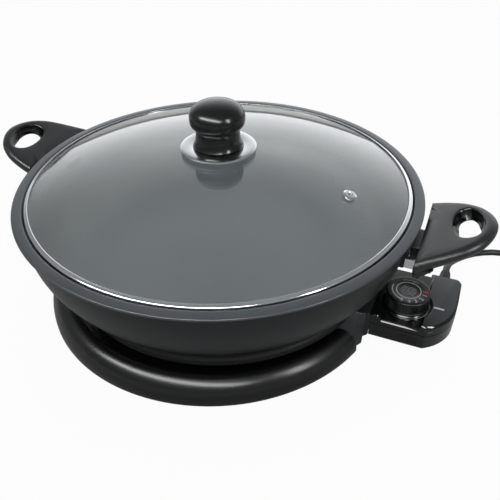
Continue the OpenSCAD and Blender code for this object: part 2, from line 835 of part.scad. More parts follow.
module knob_gasket() {
    r = disc_d / 3;
    color("#1a1a1a")
    rotate_extrude($fn = 96)
        polygon([
            [knob_screw_d / 2 + 0.4, disc_z - 0.1], [knob_screw_d / 2 + 0.4, crown_z + 0.15],
            [r - 1, crown_z + 0.15 - 0.35], [r, crown_z + 0.4], [r, disc_z - 0.6], [r - 0.5, disc_z - 0.1]
        ]);
}

module lid_knob() {
    cap_r = knob_d / 2;
    neck_r = knob_neck_d / 2;
    waist_z = knob_z + knob_h * 0.34;
    brow_z = knob_z + knob_h * 0.48;
    top_z = knob_z + knob_h;
    color("#141414")
    difference() {
        rotate_extrude($fn = 96)
            polygon(concat(
                [[0, knob_z], [neck_r + 2.2, knob_z]],
                curve([neck_r + 2.6, knob_z + 1], [neck_r, knob_z + 5], [neck_r, waist_z], 8),
                curve([neck_r, waist_z], [neck_r + 0.4, brow_z - 1.5], [cap_r - 1.2, brow_z], 8),
                curve([cap_r - 1.2, brow_z], [cap_r + 0.3, brow_z + 3], [cap_r - 0.2, brow_z + 7.5], 8),
                curve([cap_r - 0.2, brow_z + 7.5], [cap_r - 1.2, top_z - 0.6], [0, top_z], 14)
            ));
        translate([0, 0, knob_z - 1])
            cylinder(h = 22, r = knob_screw_d / 2 + run_fit, $fn = small_fn);
    }
}

knob_head_z = dome_under(0) - 1.8;

module knob_screw() {
    color("#b9bbbc")
    translate([0, 0, knob_head_z - 0.05]) screw(knob_screw_d, knob_z + 20 - knob_head_z);
}

module knob_washer() {
    color("#1a1a1a")
    translate([0, 0, knob_head_z])
        difference() {
            cylinder(h = 1.6, r = 10, $fn = small_fn);
            translate([0, 0, -1]) cylinder(h = 4, r = knob_screw_d / 2 + 0.3, $fn = small_fn);
        }
}

// ---------------------------------------------------------------- control plug

// Round front corner and small back corner of the casing, as points
function case_corners(inset) = concat(
    arc(front_c, front_r - inset, -front_a, 0, 14),
    [[plug_end - inset, 8]],
    arc([plug_end - back_r, plug_half - back_r], back_r - inset, 0, 90, 8)
);

// Plan of the casing: square at the socket, a large round corner at the front end
module case_plan(inset) {
    polygon(concat(
        [[face_x, plug_half - inset], [face_x, -plug_half + inset]],
        case_corners(inset)
    ));
}

module case_cavity(z0, z1) {
    translate([0, 0, z0])
        intersection() {
            linear_extrude(z1 - z0) case_plan(case_wall);
            translate([face_x + case_wall, -100, 0]) cube([100, 200, 100]);
        }
}

module control_lower() {
    vent_n = 6;
    color("#161718")
    difference() {
        translate([0, 0, plug_bottom]) linear_extrude(split_z - plug_bottom) case_plan(0);
        difference() {
            case_cavity(plug_bottom + case_wall, split_z + 1);
            for (p = case_screw_at())
                translate([p[0], p[1], plug_bottom]) cylinder(h = 20, r = 4, $fn = small_fn);
        }
        for (p = case_screw_at())
            translate([p[0], p[1], plug_bottom - 1]) {
                cylinder(h = 20, r = 1.5 + run_fit, $fn = small_fn);
                cylinder(h = 4.6, r = 3.4, $fn = small_fn);
            }
        // upright grooves on the front
        for (i = [0:vent_n - 1])
            translate([block_x - 16 + i * 2.6, -plug_half - 1, plug_bottom + 1.6])
                cube([1.2, 1.9, split_z - plug_bottom - 3]);
        nose_opening();
        relief_opening();
    }
}

function case_screw_at() = [[face_x + 13, 28], [plug_end - 12, -14], [face_x + 46, 29]];

// Hole in the mating face through which the nose comes out
module nose_opening() {
    translate([face_x - 1, -nose_half - 0.1, nose_bottom - 0.1])
        cube([case_wall + 2, 2 * nose_half + 0.2, nose_top - nose_bottom + 0.2]);
}

module relief_opening() {
    translate([exit_x, plug_half - case_wall - 1, pin_z]) rotate([-90, 0, 0])
        cylinder(h = case_wall + 2, r = cord_d / 2 + 1.2 + run_fit, $fn = small_fn);
}

module control_upper() {
    bevel = 2.2;
    base_z = split_z + 0.15;
    block_z = case_top + block_rise;
    color("#101112")
    difference() {
        union() {
            // casing with a bevelled deck round the dial
            hull() {
                slice(base_z) case_plan(0);
                slice(case_top - bevel) case_plan(0);
                slice(case_top - eps) case_plan(bevel);
            }
            // raised end block with the pointer mark
            hull() {
                slice(case_top - bevel - 1) block_plan(0.15);
                slice(block_z - bevel) block_plan(0.6);
                slice(block_z - eps) block_plan(bevel + 0.6);
            }
            // raised collar at the socket
            across(plug_w + 0.3)
                polygon([
                    [face_x - 0.1, base_z + 1], [face_x - 0.1, guard_top - 1], [face_x + 1, guard_top],
                    [face_x + 5, guard_top], [face_x + 8.5, case_top - 0.7], [face_x + 8.5, base_z + 1]
                ]);
        }
        case_cavity(base_z - 1, case_top - case_wall);
        nose_opening();
        relief_opening();
        translate([dial_cx, dial_y, case_top - case_wall - 1])
            cylinder(h = 10, r = shaft_d / 2 + 0.6, $fn = small_fn);
        // pocket for the pointer mark
        translate([mark_x - 0.1, dial_y - mark_w / 2 - 0.1, block_z - 0.5]) cube([mark_l + 0.2, mark_w + 0.2, 2]);
        // two V-grooves on the socket's collar
        for (s = [0, 1])
            translate([face_x + 2.6 + s * 2.6, 0, guard_top]) rotate([0, 45, 0])
                cube([0.7, plug_w + 2, 0.7], center = true);
        // relief on the deck under the dial's ring
        translate([dial_cx, dial_y, case_top - 0.4]) cylinder(h = 6, r = dial_d / 2 + 1.2, $fn = 72);
    }
}

// Plan of the raised end block, just inside the casing's own outline
module block_plan(inset) {
    polygon(concat(
        [[block_x + inset, plug_half - inset - 0.2], [block_x + inset, -plug_half + inset + 0.2]],
        case_corners(inset)
    ));
}

mark_l = 9;
mark_w = 2.2;
mark_x = block_x + 8;

module pointer_mark() {
    color("#d9dbdc")
    translate([mark_x, dial_y - mark_w / 2, case_top + block_rise - 0.45]) cube([mark_l, mark_w, 0.6]);
}

module contact_nose() {
    bore_x = guard_out - nose_l;
    color("#2a2b2c")
    difference() {
        union() {
            translate([bore_x, -nose_half, nose_bottom])
                cube([nose_l + case_wall + 0.8, 2 * nose_half, nose_top - nose_bottom]);
            translate([bore_x, -nose_half + 1, nose_bottom])
                cube([nose_l + case_wall + 6, 2 * nose_half - 2, case_top - case_wall - 0.3 - nose_bottom]);
        }
        for (s = [-1, 1])
            translate([bore_x - 1, s * tail_y, pin_z]) rotate([0, 90, 0])
                cylinder(h = nose_l + 2, r = sleeve_r + 0.05, $fn = small_fn);
        translate([bore_x - 1, 0, pin_z]) rotate([0, 90, 0])
            cylinder(h = nose_l + 20, r = probe_d / 2 + 0.05, $fn = small_fn);
    }
}

sleeve_r = pin_d / 2 + 1.4;

module contact_sleeves() {
    color("#c9a24a")
    for (s = [-1, 1])
        translate([guard_out - nose_l + 0.6, s * tail_y, pin_z]) rotate([0, 90, 0])
            difference() {
                cylinder(h = nose_l - 0.6, r = sleeve_r, $fn = small_fn);
                translate([0, 0, -1]) cylinder(h = nose_l - 3, r = pin_d / 2 + run_fit, $fn = small_fn);
            }
}

module probe_rod() {
    r = probe_d / 2;
    length = probe_reach + 7;
    color("#c8cacb")
    translate([guard_out - probe_reach, 0, pin_z]) rotate([0, 90, 0])
        rotate_extrude($fn = small_fn)
            polygon([[0, 0], [r - 1.5, 0], [r, 1.5], [r, length], [0, length]]);
}

module thermostat() {
    low = plug_bottom + case_wall + 0.2;
    block_in = guard_out + case_wall + 7;
    color("#d8d2c4")
    difference() {
        translate([block_in, dial_y - 14, low]) cube([34, 30, case_top - case_wall - 3 - low]);
        translate([dial_cx, dial_y, shaft_foot - 0.1])
            cylinder(h = 20, r = shaft_d / 2 + run_fit, $fn = small_fn);
    }
}

shaft_foot = plug_bottom + case_wall + 5;

module case_screws() {
    color("#b9bbbc")
    for (p = case_screw_at())
        translate([p[0], p[1], plug_bottom + 3.6 - 0.05]) screw(3, 9);
}

// ---------------------------------------------------------------- dial

module dial_ring() {
    r = dial_d / 2;
    color("#c8cacb")
    difference() {
        translate([dial_cx, dial_y, case_top - 0.35])
            rotate_extrude($fn = 96)
                polygon([
                    [shaft_d / 2 + 0.6, 0], [r + 0.9, 0], [r + 0.9, 0.9], [r + 0.1, 1.3],
                    [r + 0.1, 2.2], [r - 0.6, 2.9], [shaft_d / 2 + 0.6, 2.9]
                ]);
    }
}

module dial() {
    r = dial_d / 2;
    rib = 0.5;
    color("#1b1c1d")
    translate([dial_cx, dial_y, dial_z])
        difference() {
            union() {
                rotate_extrude($fn = 96)
                    polygon([
                        [0, 0], [r - 0.4, 0], [r - 0.4, 0.8], [r - 0.9, 1.2], [r - 0.9, dial_h - 2.4],
                        [r - 0.2, dial_h - 1.6], [r - 0.2, dial_h - 0.9], [r - 1.4, dial_h],
                        [r * 0.48, dial_h], [r * 0.46, dial_h - 0.5], [0, dial_h - 0.5]
                    ]);
                for (i = [0:dial_ribs - 1])
                    rotate([0, 0, 360 * i / dial_ribs])
                        translate([r - 1.3, -0.45, 1.2]) cube([0.4 + rib, 0.9, dial_h - 3.4]);
            }
            // hub bore with a flat, for the shaft
            difference() {
                translate([0, 0, -1]) cylinder(h = dial_h - 2, r = shaft_d / 2 + 0.05, $fn = small_fn);
                translate([shaft_d / 2 - 1, -5, -1]) cube([10, 10, dial_h]);
            }
            // hollow under the skirt
            difference() {
                translate([0, 0, -1]) cylinder(h = dial_h - 3, r = r - 3, $fn = 72);
                translate([0, 0, -2]) cylinder(h = dial_h, r = shaft_d / 2 + 2.4, $fn = small_fn);
            }
        }
}

module dial_shaft() {
    color("#b9bbbc")
    translate([dial_cx, dial_y, shaft_foot])
        difference() {
            cylinder(h = dial_z + dial_h - 3.4 - shaft_foot, r = shaft_d / 2, $fn = small_fn);
            translate([shaft_d / 2 - 1.05, -5, dial_z - shaft_foot - 0.2]) cube([10, 10, dial_h]);
        }
}

// ---------------------------------------------------------------- cord

module strain_relief() {
    thick = cord_r + 3;
    thin = cord_r + 1.1;
    rings = 5;
    step = (relief_l - 2) / rings;
    color("#141414")
    translate([exit_x, plug_half, pin_z]) rotate([-90, 0, 0]) {
        rotate_extrude($fn = small_fn)
            polygon(concat(
                [[0, -case_wall - 0.6], [cord_r + 2.4, -case_wall - 0.6], [cord_r + 2.4, -case_wall - 0.2],
                 [cord_r + 1.2, -case_wall - 0.2], [cord_r + 1.2, 0.2], [thick, 0.2]],
                [
                    for (i = [0:rings - 1])
                        let (a = thick + (thin - thick) * i / rings, z = 0.6 + i * step)
                        each [[a, z], [a, z + step * 0.62], [a - 0.7, z + step * 0.66], [a - 0.7, z + step * 0.96]]
                ],
                [[thin, relief_l - 1], [thin - 0.4, relief_l], [0, relief_l]]
            ));
    }
}

module cord_run() {
    color("#161616") tube(route, cord_r, 10);
}

// The coil winds inwards on the table, climbs and winds out again on top of itself
coil_rings = 24;
coil_half = coil_turns / 2;
coil_out = coil_d / 2 + coil_pitch * coil_half / 2;
coil_c = coil_start - [0, coil_out, 0];
coil_layer = cord_d + 0.6;
coil_n = coil_rings * coil_turns;

// Point of the coil after u turns
function coil_at(u) =
    let (
        r = coil_out - coil_pitch * (coil_half - abs(u - coil_half)),
        climb = min(1, max(0, (u - coil_half) * 2 + 0.5)),
        a = 90 - 360 * u
    )
    coil_c + [r * cos(a), r * sin(a), coil_layer * climb];

mains_axis = mains_d / 2 + 0.1;
mains_x = coil_c[0] + coil_out;
coil_end = coil_at(coil_turns);

coil_path = concat(
    [coil_start, coil_start + [cord_d, 0, 0]],
    [for (i = [2:coil_n - 1]) coil_at(i / coil_rings)],
    [
        coil_end + [0, -2, 0.6], coil_end + [0, -12, 2.6], coil_end + [0, -22, 5.4],
        [coil_end[0], coil_end[1] - 31, mains_axis - 0.6], [coil_end[0], coil_end[1] - 38, mains_axis],
        [coil_end[0], coil_end[1] - 38 - cord_d, mains_axis]
    ]
);

function gap_between(path, skip) =
    min([for (i = [0:len(path) - 1]) for (j = [i + skip:1:len(path) - 1]) norm(path[i] - path[j])]) - cord_d;

module cord_coil() {
    echo(coil_gap = gap_between(coil_path, 12));
    color("#161616") tube(coil_path, cord_r, 6);
}

module cord_tie() {
    mid_r = coil_d / 2;
    lift = coil_layer + 2 * cord_r + 1.2;
    half_w = coil_pitch * coil_half / 2 + cord_r + 1.4;
    color("#2a2a2a")
    translate([coil_c[0], coil_c[1], 0]) rotate([0, 0, 225]) translate([mid_r, 0, 0])
        difference() {
            translate([-half_w, -3, 0.05]) cube([2 * half_w, 6, lift + 0.8]);
            translate([-half_w + 0.8, -4, 0.8]) cube([2 * half_w - 1.6, 8, lift - 0.7]);
        }
}

plug_y = coil_end[1] - 38 - cord_d;

// Moulded two-pin mains plug with earth contacts, lying on the table
module mains_plug() {
    r = mains_d / 2;
    neck = cord_r + 2.2;
    color("#171717")
    translate([mains_x, plug_y, mains_axis]) rotate([90, 0, 0])
        difference() {
            rotate_extrude($fn = 72)
                polygon(concat(
                    [[0, 0], [neck, 0], [neck + 0.8, 14]],
                    curve([neck + 0.8, 14], [neck + 3, 20], [r - 3, 22], 6),
                    [[r - 1, 24], [r, 27], [r, 14 + mains_l - 1], [r - 1, 14 + mains_l], [0, 14 + mains_l]]
                ));
            for (a = [0, 180])
                rotate([0, 0, a]) {
                    translate([-6, r - 3.2, 30]) cube([12, 10, 40]);
                    translate([9.5, 0, 14 + mains_l - 12]) cylinder(h = 20, r = 2.4 + 0.02, $fn = small_fn);
                }
        }
}

module mains_pins() {
    color("#d2d3d0")
    translate([mains_x, plug_y, mains_axis]) rotate([90, 0, 0])
        for (a = [0, 180])
            rotate([0, 0, a]) {
                translate([9.5, 0, 14 + mains_l - 11.9]) cylinder(h = 29.5, r = 2.4, $fn = small_fn);
                translate([9.5, 0, 14 + mains_l + 17.6]) cylinder(h = 1.4, r1 = 2.4, r2 = 1.5, $fn = small_fn);
            }
}

// ---------------------------------------------------------------- assembly

pan();
heating_element();
terminal_straps();
contact_pins();
probe_sleeve();
heat_shield();
base_ring();
foot_ring();
base_screws();
socket_guard();
right_handle();
left_handle();
right_bracket();
left_bracket();
handle_screws();
bracket_rivets();
lid_glass();
lid_band();
vent_eyelet();
knob_disc();
knob_gasket();
lid_knob();
knob_screw();
knob_washer();
control_lower();
control_upper();
contact_nose();
contact_sleeves();
probe_rod();
thermostat();
dial();
dial_ring();
dial_shaft();
pointer_mark();
case_screws();
strain_relief();
cord_run();
cord_coil();
cord_tie();
mains_plug();
mains_pins();
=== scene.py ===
import math

import bmesh
import bpy
from mathutils import Matrix, Vector


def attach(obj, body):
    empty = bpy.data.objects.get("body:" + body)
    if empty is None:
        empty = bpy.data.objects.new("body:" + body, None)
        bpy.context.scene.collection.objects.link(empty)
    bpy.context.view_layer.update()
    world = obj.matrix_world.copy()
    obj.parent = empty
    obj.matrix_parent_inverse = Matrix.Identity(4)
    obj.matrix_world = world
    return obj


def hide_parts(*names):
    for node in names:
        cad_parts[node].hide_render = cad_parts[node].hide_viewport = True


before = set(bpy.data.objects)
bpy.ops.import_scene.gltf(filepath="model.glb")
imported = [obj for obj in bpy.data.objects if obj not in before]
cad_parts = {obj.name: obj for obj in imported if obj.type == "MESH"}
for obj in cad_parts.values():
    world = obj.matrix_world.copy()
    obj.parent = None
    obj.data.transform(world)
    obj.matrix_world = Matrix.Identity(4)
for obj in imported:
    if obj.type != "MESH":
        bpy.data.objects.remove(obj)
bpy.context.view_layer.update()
mm = 0.001
plainScene = bpy.context.scene


def addObject(name, data):
    made = bpy.data.objects.new(name, data)
    plainScene.collection.objects.link(made)
    return made


# camera

cameraView = {
    "focalPixels": 560.0,
    "picturePixels": 500,
    "sensor": 36,
    "nearest": 0.01,
    "place": (0.2011, -0.4065, 0.3840),
    "turn": 22.9,  # degrees between the handles' line and the picture's width
    "down": 37.53,
    "roll": -0.62,
}


def placeCamera():
    turn = math.radians(cameraView["turn"])
    down = math.radians(cameraView["down"])
    roll = math.radians(cameraView["roll"])
    ahead = Vector((-math.sin(turn) * math.cos(down), math.cos(turn) * math.cos(down), -math.sin(down)))
    right = Vector((math.cos(turn), math.sin(turn), 0))
    up = right.cross(ahead)
    tiltedRight = math.cos(roll) * right + math.sin(roll) * up
    tiltedUp = -math.sin(roll) * right + math.cos(roll) * up
    lens = bpy.data.cameras.new("photoCamera")
    lens.sensor_width = cameraView["sensor"]
    lens.lens = cameraView["focalPixels"] / cameraView["picturePixels"] * cameraView["sensor"]
    lens.clip_start = cameraView["nearest"]
    camera = addObject("photoCamera", lens)
    axes = Matrix((tiltedRight, tiltedUp, -ahead)).transposed().to_4x4()
    camera.matrix_world = Matrix.Translation(Vector(cameraView["place"])) @ axes
    plainScene.camera = camera


placeCamera()
print("camera placed")


# colours and material nodes

def toLinear(hexText):
    parts = [int(hexText[i : i + 2], 16) / 255 for i in (1, 3, 5)]
    return [c / 12.92 if c <= 0.04045 else ((c + 0.055) / 1.055) ** 2.4 for c in parts] + [1.0]


def addNode(tree, kind, settings=None, links=None):
    node = tree.nodes.new(kind)
    for key, value in (settings or {}).items():
        if isinstance(key, str) and hasattr(node, key):
            setattr(node, key, value)
        else:
            node.inputs[key].default_value = value
    for key, source in (links or {}).items():
        tree.links.new(source, node.inputs[key])
    return node


def calculated(tree, operation, values, links):
    return addNode(tree, "ShaderNodeMath", {"operation": operation, **values}, links).outputs["Value"]


def emptyTree(owner):
    owner.use_nodes = True
    owner.node_tree.nodes.clear()
    return owner.node_tree


def emptyMaterial(name, sockets=None):
    made = bpy.data.materials.new(name)
    tree = emptyTree(made)
    shader = addNode(tree, "ShaderNodeBsdfPrincipled", sockets)
    addNode(tree, "ShaderNodeOutputMaterial", None, {"Surface": shader.outputs["BSDF"]})
    place = addNode(tree, "ShaderNodeTexCoord").outputs["Object"]
    return made, tree, shader, place


# strengths that the surfaces share; a noise keeps mostly between its ends
look = {
    "noiseEnds": (0.25, 0.75), "patchShare": 0.6, "grainBump": 0.5,
    "pebbleJoin": 0.4, "pebbleBump": 0.7, "pebblePatch": 28.0,
    "lineShade": 0.82, "lineBump": 0.25, "lineDepth": 0.00002,
    "glassTint": "#f6fbfa", "waveScale": 14.0, "waveBump": 0.06, "waveDepth": 0.0004,
}


# a 0 to 1 pattern mapped onto a range of values
def spread(tree, source, low, high):
    start, end = look["noiseEnds"]
    settings = {"To Min": low, "To Max": high, "From Min": start, "From Max": end}
    return addNode(tree, "ShaderNodeMapRange", settings, {"Value": source}).outputs["Result"]


def noise(tree, place, scale, detail):
    return addNode(tree, "ShaderNodeTexNoise", {"Scale": scale, "Detail": detail}, {"Vector": place}).outputs["Fac"]


def bumpFrom(tree, height, strength, depth):
    settings = {"Strength": strength, "Distance": depth}
    return addNode(tree, "ShaderNodeBump", settings, {"Height": height}).outputs["Normal"]


# the shader's colour between two by a mask, its roughness range by a pattern, and its bump
def dress(tree, shader, colours, share, mask, rough, pattern, bump):
    ends = {"data_type": "RGBA", 6: colours[0], 7: colours[1]}
    shade = addNode(tree, "ShaderNodeMix", ends, {0: spread(tree, mask, 0.0, share)})
    tree.links.new(shade.outputs[2], shader.inputs["Base Color"])
    tree.links.new(spread(tree, pattern, *rough), shader.inputs["Roughness"])
    tree.links.new(bump, shader.inputs["Normal"])


# sprayed or moulded surfaces: a fine grain that breaks up the highlight, and broad patches of handling wear
def grainedSurface(name, hexText, paleHex, rough, grainMm, grainDepth, patchMm, sockets=None):
    made, tree, shader, place = emptyMaterial(name, sockets)
    patch = noise(tree, place, 1000 / patchMm, 3.0)
    grain = noise(tree, place, 1000 / grainMm, 2.0)
    bump = bumpFrom(tree, grain, look["grainBump"], grainDepth)
    dress(tree, shader, (toLinear(hexText), toLinear(paleHex)), look["patchShare"], patch, rough, patch, bump)
    return made


# phenolic moulded against an etched tool: rounded pebbles about a millimetre across
def pebbledSurface(name, hexText, paleHex, rough, pebbleMm, depth):
    made, tree, shader, place = emptyMaterial(name)
    settings = {"feature": "SMOOTH_F1", "Scale": 1000 / pebbleMm, "Smoothness": look["pebbleJoin"]}
    cells = addNode(tree, "ShaderNodeTexVoronoi", settings, {"Vector": place}).outputs["Distance"]
    patch = noise(tree, place, look["pebblePatch"], 4.0)
    bump = bumpFrom(tree, cells, look["pebbleBump"], -depth)
    # paler pebble tops and darker hollows: painted shade between the pebbles
    dress(tree, shader, (toLinear(paleHex), toLinear(hexText)), 1.0, cells, rough, patch, bump)
    return made


# rolled or turned steel: fine lines along one axis, or rings round the wok's axis
def workedSteel(name, hexText, rough, lineMm, along=(1.0, 1.0, 1.0), rings=False):
    made, tree, shader, place = emptyMaterial(name, {"Metallic": 1.0})
    if rings:
        parts = addNode(tree, "ShaderNodeSeparateXYZ", None, {"Vector": place}).outputs
        flat = addNode(tree, "ShaderNodeCombineXYZ", None, {"X": parts["X"], "Y": parts["Y"]}).outputs["Vector"]
        radius = addNode(tree, "ShaderNodeVectorMath", {"operation": "LENGTH"}, {0: flat}).outputs["Value"]
        place = addNode(tree, "ShaderNodeCombineXYZ", None, {"X": radius, "Z": parts["Z"]}).outputs["Vector"]
    stretched = addNode(tree, "ShaderNodeMapping", {"Scale": along}, {"Vector": place}).outputs["Vector"]
    lines = noise(tree, stretched, 1000 / lineMm, 3.0)
    pale = toLinear(hexText)
    dark = [c * look["lineShade"] for c in pale[:3]] + [1.0]
    bump = bumpFrom(tree, lines, look["lineBump"], look["lineDepth"])
    dress(tree, shader, (dark, pale), 1.0, lines, rough, lines, bump)
    return made


# tempered soda-lime glass: clear, a breath of green, with the faint roller wave of tempering
def temperedGlass(name):
    made, tree, shader, place = emptyMaterial(name, {"IOR": 1.5, "Transmission Weight": 1.0, "Roughness": 0.0})
    shader.inputs["Base Color"].default_value = toLinear(look["glassTint"])
    wave = noise(tree, place, look["waveScale"], 1.0)
    tree.links.new(bumpFrom(tree, wave, look["waveBump"], look["waveDepth"]), shader.inputs["Normal"])
    return made


dull = {"Specular IOR Level": 0.3}

# material, colour, paler colour, roughness range, grain in mm, its depth in m, patches in mm
grained = {
    # non-stick coating sprayed on cast aluminium: satin charcoal, fine orange peel
    "coatOuter": ("charcoalNonStickCoating", "#1a1d1f", "#202325", (0.36, 0.44), 0.7, 0.00006, 60.0, dull),
    "coatInner": ("greyNonStickInterior", "#4a4d50", "#525558", (0.34, 0.42), 0.6, 0.00002, 50.0),
    # the flange's top: the same coating painted paler, a painted light on the upward faces
    "coatFlangePaintedLight": ("charcoalNonStickFlangePaintedLight", "#454a4d", "#4d5255", (0.30, 0.36), 0.7, 0.00004, 60.0),
    # satin moulded polypropylene with a spark-eroded skin
    "basePlastic": ("satinBlackMouldedBase", "#0a0b0c", "#0f1011", (0.25, 0.31), 0.8, 0.00003, 70.0),
    "guardPlastic": ("satinBlackSocketMoulding", "#24282a", "#2b2f31", (0.30, 0.38), 0.7, 0.00003, 30.0),
    "glossBlack": ("glossBlackPhenolic", "#050606", "#090a0a", (0.18, 0.25), 5.0, 0.00002, 40.0),
    "controlBlack": ("glossBlackPolycarbonate", "#0d0f10", "#131516", (0.06, 0.10), 4.0, 0.00002, 25.0),
    # the block's level top: the casing's black painted paler, a painted highlight
    "deckPaintedHighlight": ("satinBlackPolycarbonateDeckPaintedHighlight", "#3a3e41", "#414548", (0.26, 0.32), 0.5, 0.00003, 25.0),
    "dialBlack": ("satinBlackDialMoulding", "#0e0f10", "#151617", (0.30, 0.36), 0.6, 0.00003, 15.0),
    "rubber": ("mattBlackRubber", "#121212", "#1a1a1a", (0.55, 0.65), 0.8, 0.00005, 20.0),
    "cordSkin": ("smoothBlackVinylCord", "#111213", "#191a1b", (0.36, 0.44), 0.9, 0.00003, 25.0),
    "shieldPaint": ("satinDarkGreyPaintedShield", "#0a0b0c", "#101112", (0.30, 0.38), 0.8, 0.00004, 40.0, dull),
    "ceramic": ("glazedCeramicBlock", "#cfc9ba", "#dbd6c9", (0.25, 0.4), 1.5, 0.00003, 12.0),
    "silverInk": ("silverGreyInk", "#e3e6e8", "#eceff0", (0.3, 0.4), 0.5, 0.00001, 6.0),
    "redInk": ("redInk", "#c0262a", "#cc3034", (0.3, 0.4), 0.5, 0.00001, 6.0),
}

# material, colour, roughness range, lines in mm
worked = {
    "polishedSteel": ("polishedStainlessBand", "#dfe1e2", (0.10, 0.16), 0.5, (1.0, 1.0, 0.2), True),
    "discSteel": ("turnedStainlessDisc", "#c9cbcc", (0.10, 0.18), 0.6, (1.0, 1.0, 0.2), True),
    "brushedSteel": ("brushedStainlessStrip", "#d3d6d8", (0.18, 0.28), 0.4, (0.08, 1.0, 1.0)),
    "zincSteel": ("zincPlatedSteel", "#b4b8ba", (0.25, 0.35), 0.8),
    "sheathSteel": ("heaterSheathAlloy", "#8b8c8a", (0.35, 0.5), 1.2),
    "brass": ("plainBrass", "#c9a55a", (0.22, 0.32), 0.9),
    "nickel": ("brightNickelPlate", "#d8d8d0", (0.12, 0.2), 0.7),
}

finishes = {key: grainedSurface(*values) for key, values in grained.items()}
finishes |= {key: workedSteel(*values) for key, values in worked.items()}
finishes["handlePlastic"] = pebbledSurface("pebbledBlackPhenolic", "#141617", "#1c1f20", (0.30, 0.40), 1.0, 0.00010)
finishes["glass"] = temperedGlass("temperedClearGlass")
print("materials made:", len(finishes))


# helpers for shapes, in millimetres

def bend(p0, p1, p2, count):
    steps = [i / count for i in range(count + 1)]
    return [tuple((1 - t) ** 2 * a + 2 * t * (1 - t) * b + t * t * c for a, b, c in zip(p0, p1, p2)) for t in steps]


def arcPoints(centre, radius, start, end, count):
    angles = [math.radians(start + (end - start) * i / count) for i in range(count + 1)]
    return [(centre[0] + radius * math.cos(a), centre[1] + radius * math.sin(a)) for a in angles]


# a piece from points and faces in millimetres, smooth except at its creases
def makePiece(name, points, faces, finish, body, replaced=(), crease=32):
    mesh = bpy.data.meshes.new(name)
    mesh.from_pydata([Vector(p) * mm for p in points], [], faces)
    sheet = bmesh.new()
    sheet.from_mesh(mesh)
    bmesh.ops.remove_doubles(sheet, verts=sheet.verts, dist=1e-6)
    bmesh.ops.recalc_face_normals(sheet, faces=sheet.faces)
    sheet.to_mesh(mesh)
    sheet.free()
    return placePiece(name, mesh, finish, body, replaced, crease)


def placePiece(name, mesh, finish, body, replaced, crease):
    mesh.materials.clear()
    mesh.materials.append(finishes[finish])
    mesh.shade_smooth()
    mesh.set_sharp_from_angle(angle=math.radians(crease))
    piece = addObject(name, mesh)
    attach(piece, body)
    if replaced:
        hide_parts(*replaced)
    return piece


# skin over a row of rings with equally many points; closed rows join the last ring to the first
def loft(rings, closedRow=False):
    count = len(rings[0])
    points = [p for ring in rings for p in ring]
    faces = []
    rows = len(rings) if closedRow else len(rings) - 1
    for i in range(rows):
        a, b = i * count, (i + 1) % len(rings) * count
        faces += [(a + k, a + (k + 1) % count, b + (k + 1) % count, b + k) for k in range(count)]
    if not closedRow:
        faces.append(tuple(range(count))[::-1])
        faces.append(tuple((len(rings) - 1) * count + k for k in range(count)))
    return points, faces


def joined(*parts):
    points, faces = [], []
    for somePoints, someFaces in parts:
        start = len(points)
        points += list(somePoints)
        faces += [tuple(start + i for i in face) for face in someFaces]
    return points, faces


# a level outline raised through (height, inset) layers
def raised(outline, layers):
    return loft([[(x, y, z) for x, y in outline(inset)] for z, inset in layers])


# turned pieces: a node group swings the seed profile round the wok's axis

def socketOf(tree, name):
    return next(item.identifier for item in tree.interface.items_tree if item.name == name)


def emptyGroup(name, inputs):
    tree = bpy.data.node_groups.new(name, "GeometryNodeTree")
    for label, kind in inputs.items():
        tree.interface.new_socket(label, in_out="INPUT", socket_type="NodeSocket" + kind)
    tree.interface.new_socket("Built", in_out="OUTPUT", socket_type="NodeSocketGeometry")
    return tree, addNode(tree, "NodeGroupInput").outputs


# the end of a group: real faces in the given finish
def closeGroup(tree, shape, finish):
    real = addNode(tree, "GeometryNodeRealizeInstances", None, {"Geometry": shape}).outputs["Geometry"]
    coated = addNode(tree, "GeometryNodeSetMaterial", None, {"Geometry": real, "Material": finish}).outputs["Geometry"]
    addNode(tree, "NodeGroupOutput", None, {"Built": coated})
    return tree


def turningGroup():
    inputs = {"Profile": "Geometry", "Steps": "Int", "Swing": "Float", "Finish": "Material"}
    tree, given = emptyGroup("turnProfile", inputs)
    back = calculated(tree, "MULTIPLY", {1: -1.0}, {0: given["Swing"]})
    offset = addNode(tree, "ShaderNodeCombineXYZ", None, {"X": back}).outputs["Vector"]
    moved = addNode(tree, "GeometryNodeTransform", None, {"Geometry": given["Profile"], "Translation": offset})
    line = addNode(tree, "GeometryNodeMeshToCurve", None, {"Mesh": moved.outputs["Geometry"]}).outputs["Curve"]
    size = {"Resolution": given["Steps"], "Radius": given["Swing"]}
    circle = addNode(tree, "GeometryNodeCurvePrimitiveCircle", None, size).outputs["Curve"]
    upright = addNode(tree, "GeometryNodeSetCurveNormal", {"mode": "Z_UP"}, {"Curve": circle}).outputs["Curve"]
    skin = addNode(tree, "GeometryNodeCurveToMesh", None, {"Curve": upright, "Profile Curve": line}).outputs["Mesh"]
    sealed = addNode(tree, "GeometryNodeMergeByDistance", {"Distance": 0.00001}, {"Geometry": skin})
    return closeGroup(tree, sealed.outputs["Geometry"], given["Finish"])


turning = turningGroup()


# the finished mesh of an object, which is then removed
def baked(seed, name):
    plainScene.view_layers[0].update()
    view = bpy.context.evaluated_depsgraph_get()
    mesh = bpy.data.meshes.new_from_object(seed.evaluated_get(view), depsgraph=view)
    bpy.data.objects.remove(seed)
    mesh.name = name
    return mesh


# a mesh's points in millimetres and its faces
def partsOf(mesh):
    return [tuple(v.co / mm) for v in mesh.vertices], [tuple(p.vertices) for p in mesh.polygons]


# a seed mesh under a node group with the given inputs
def evaluated(name, seedMesh, tree, given):
    seed = addObject(name + "Seed", seedMesh)
    modifier = seed.modifiers.new("build", "NODES")
    modifier.node_group = tree
    for key, value in given.items():
        modifier[socketOf(tree, key)] = value
    return baked(seed, name)


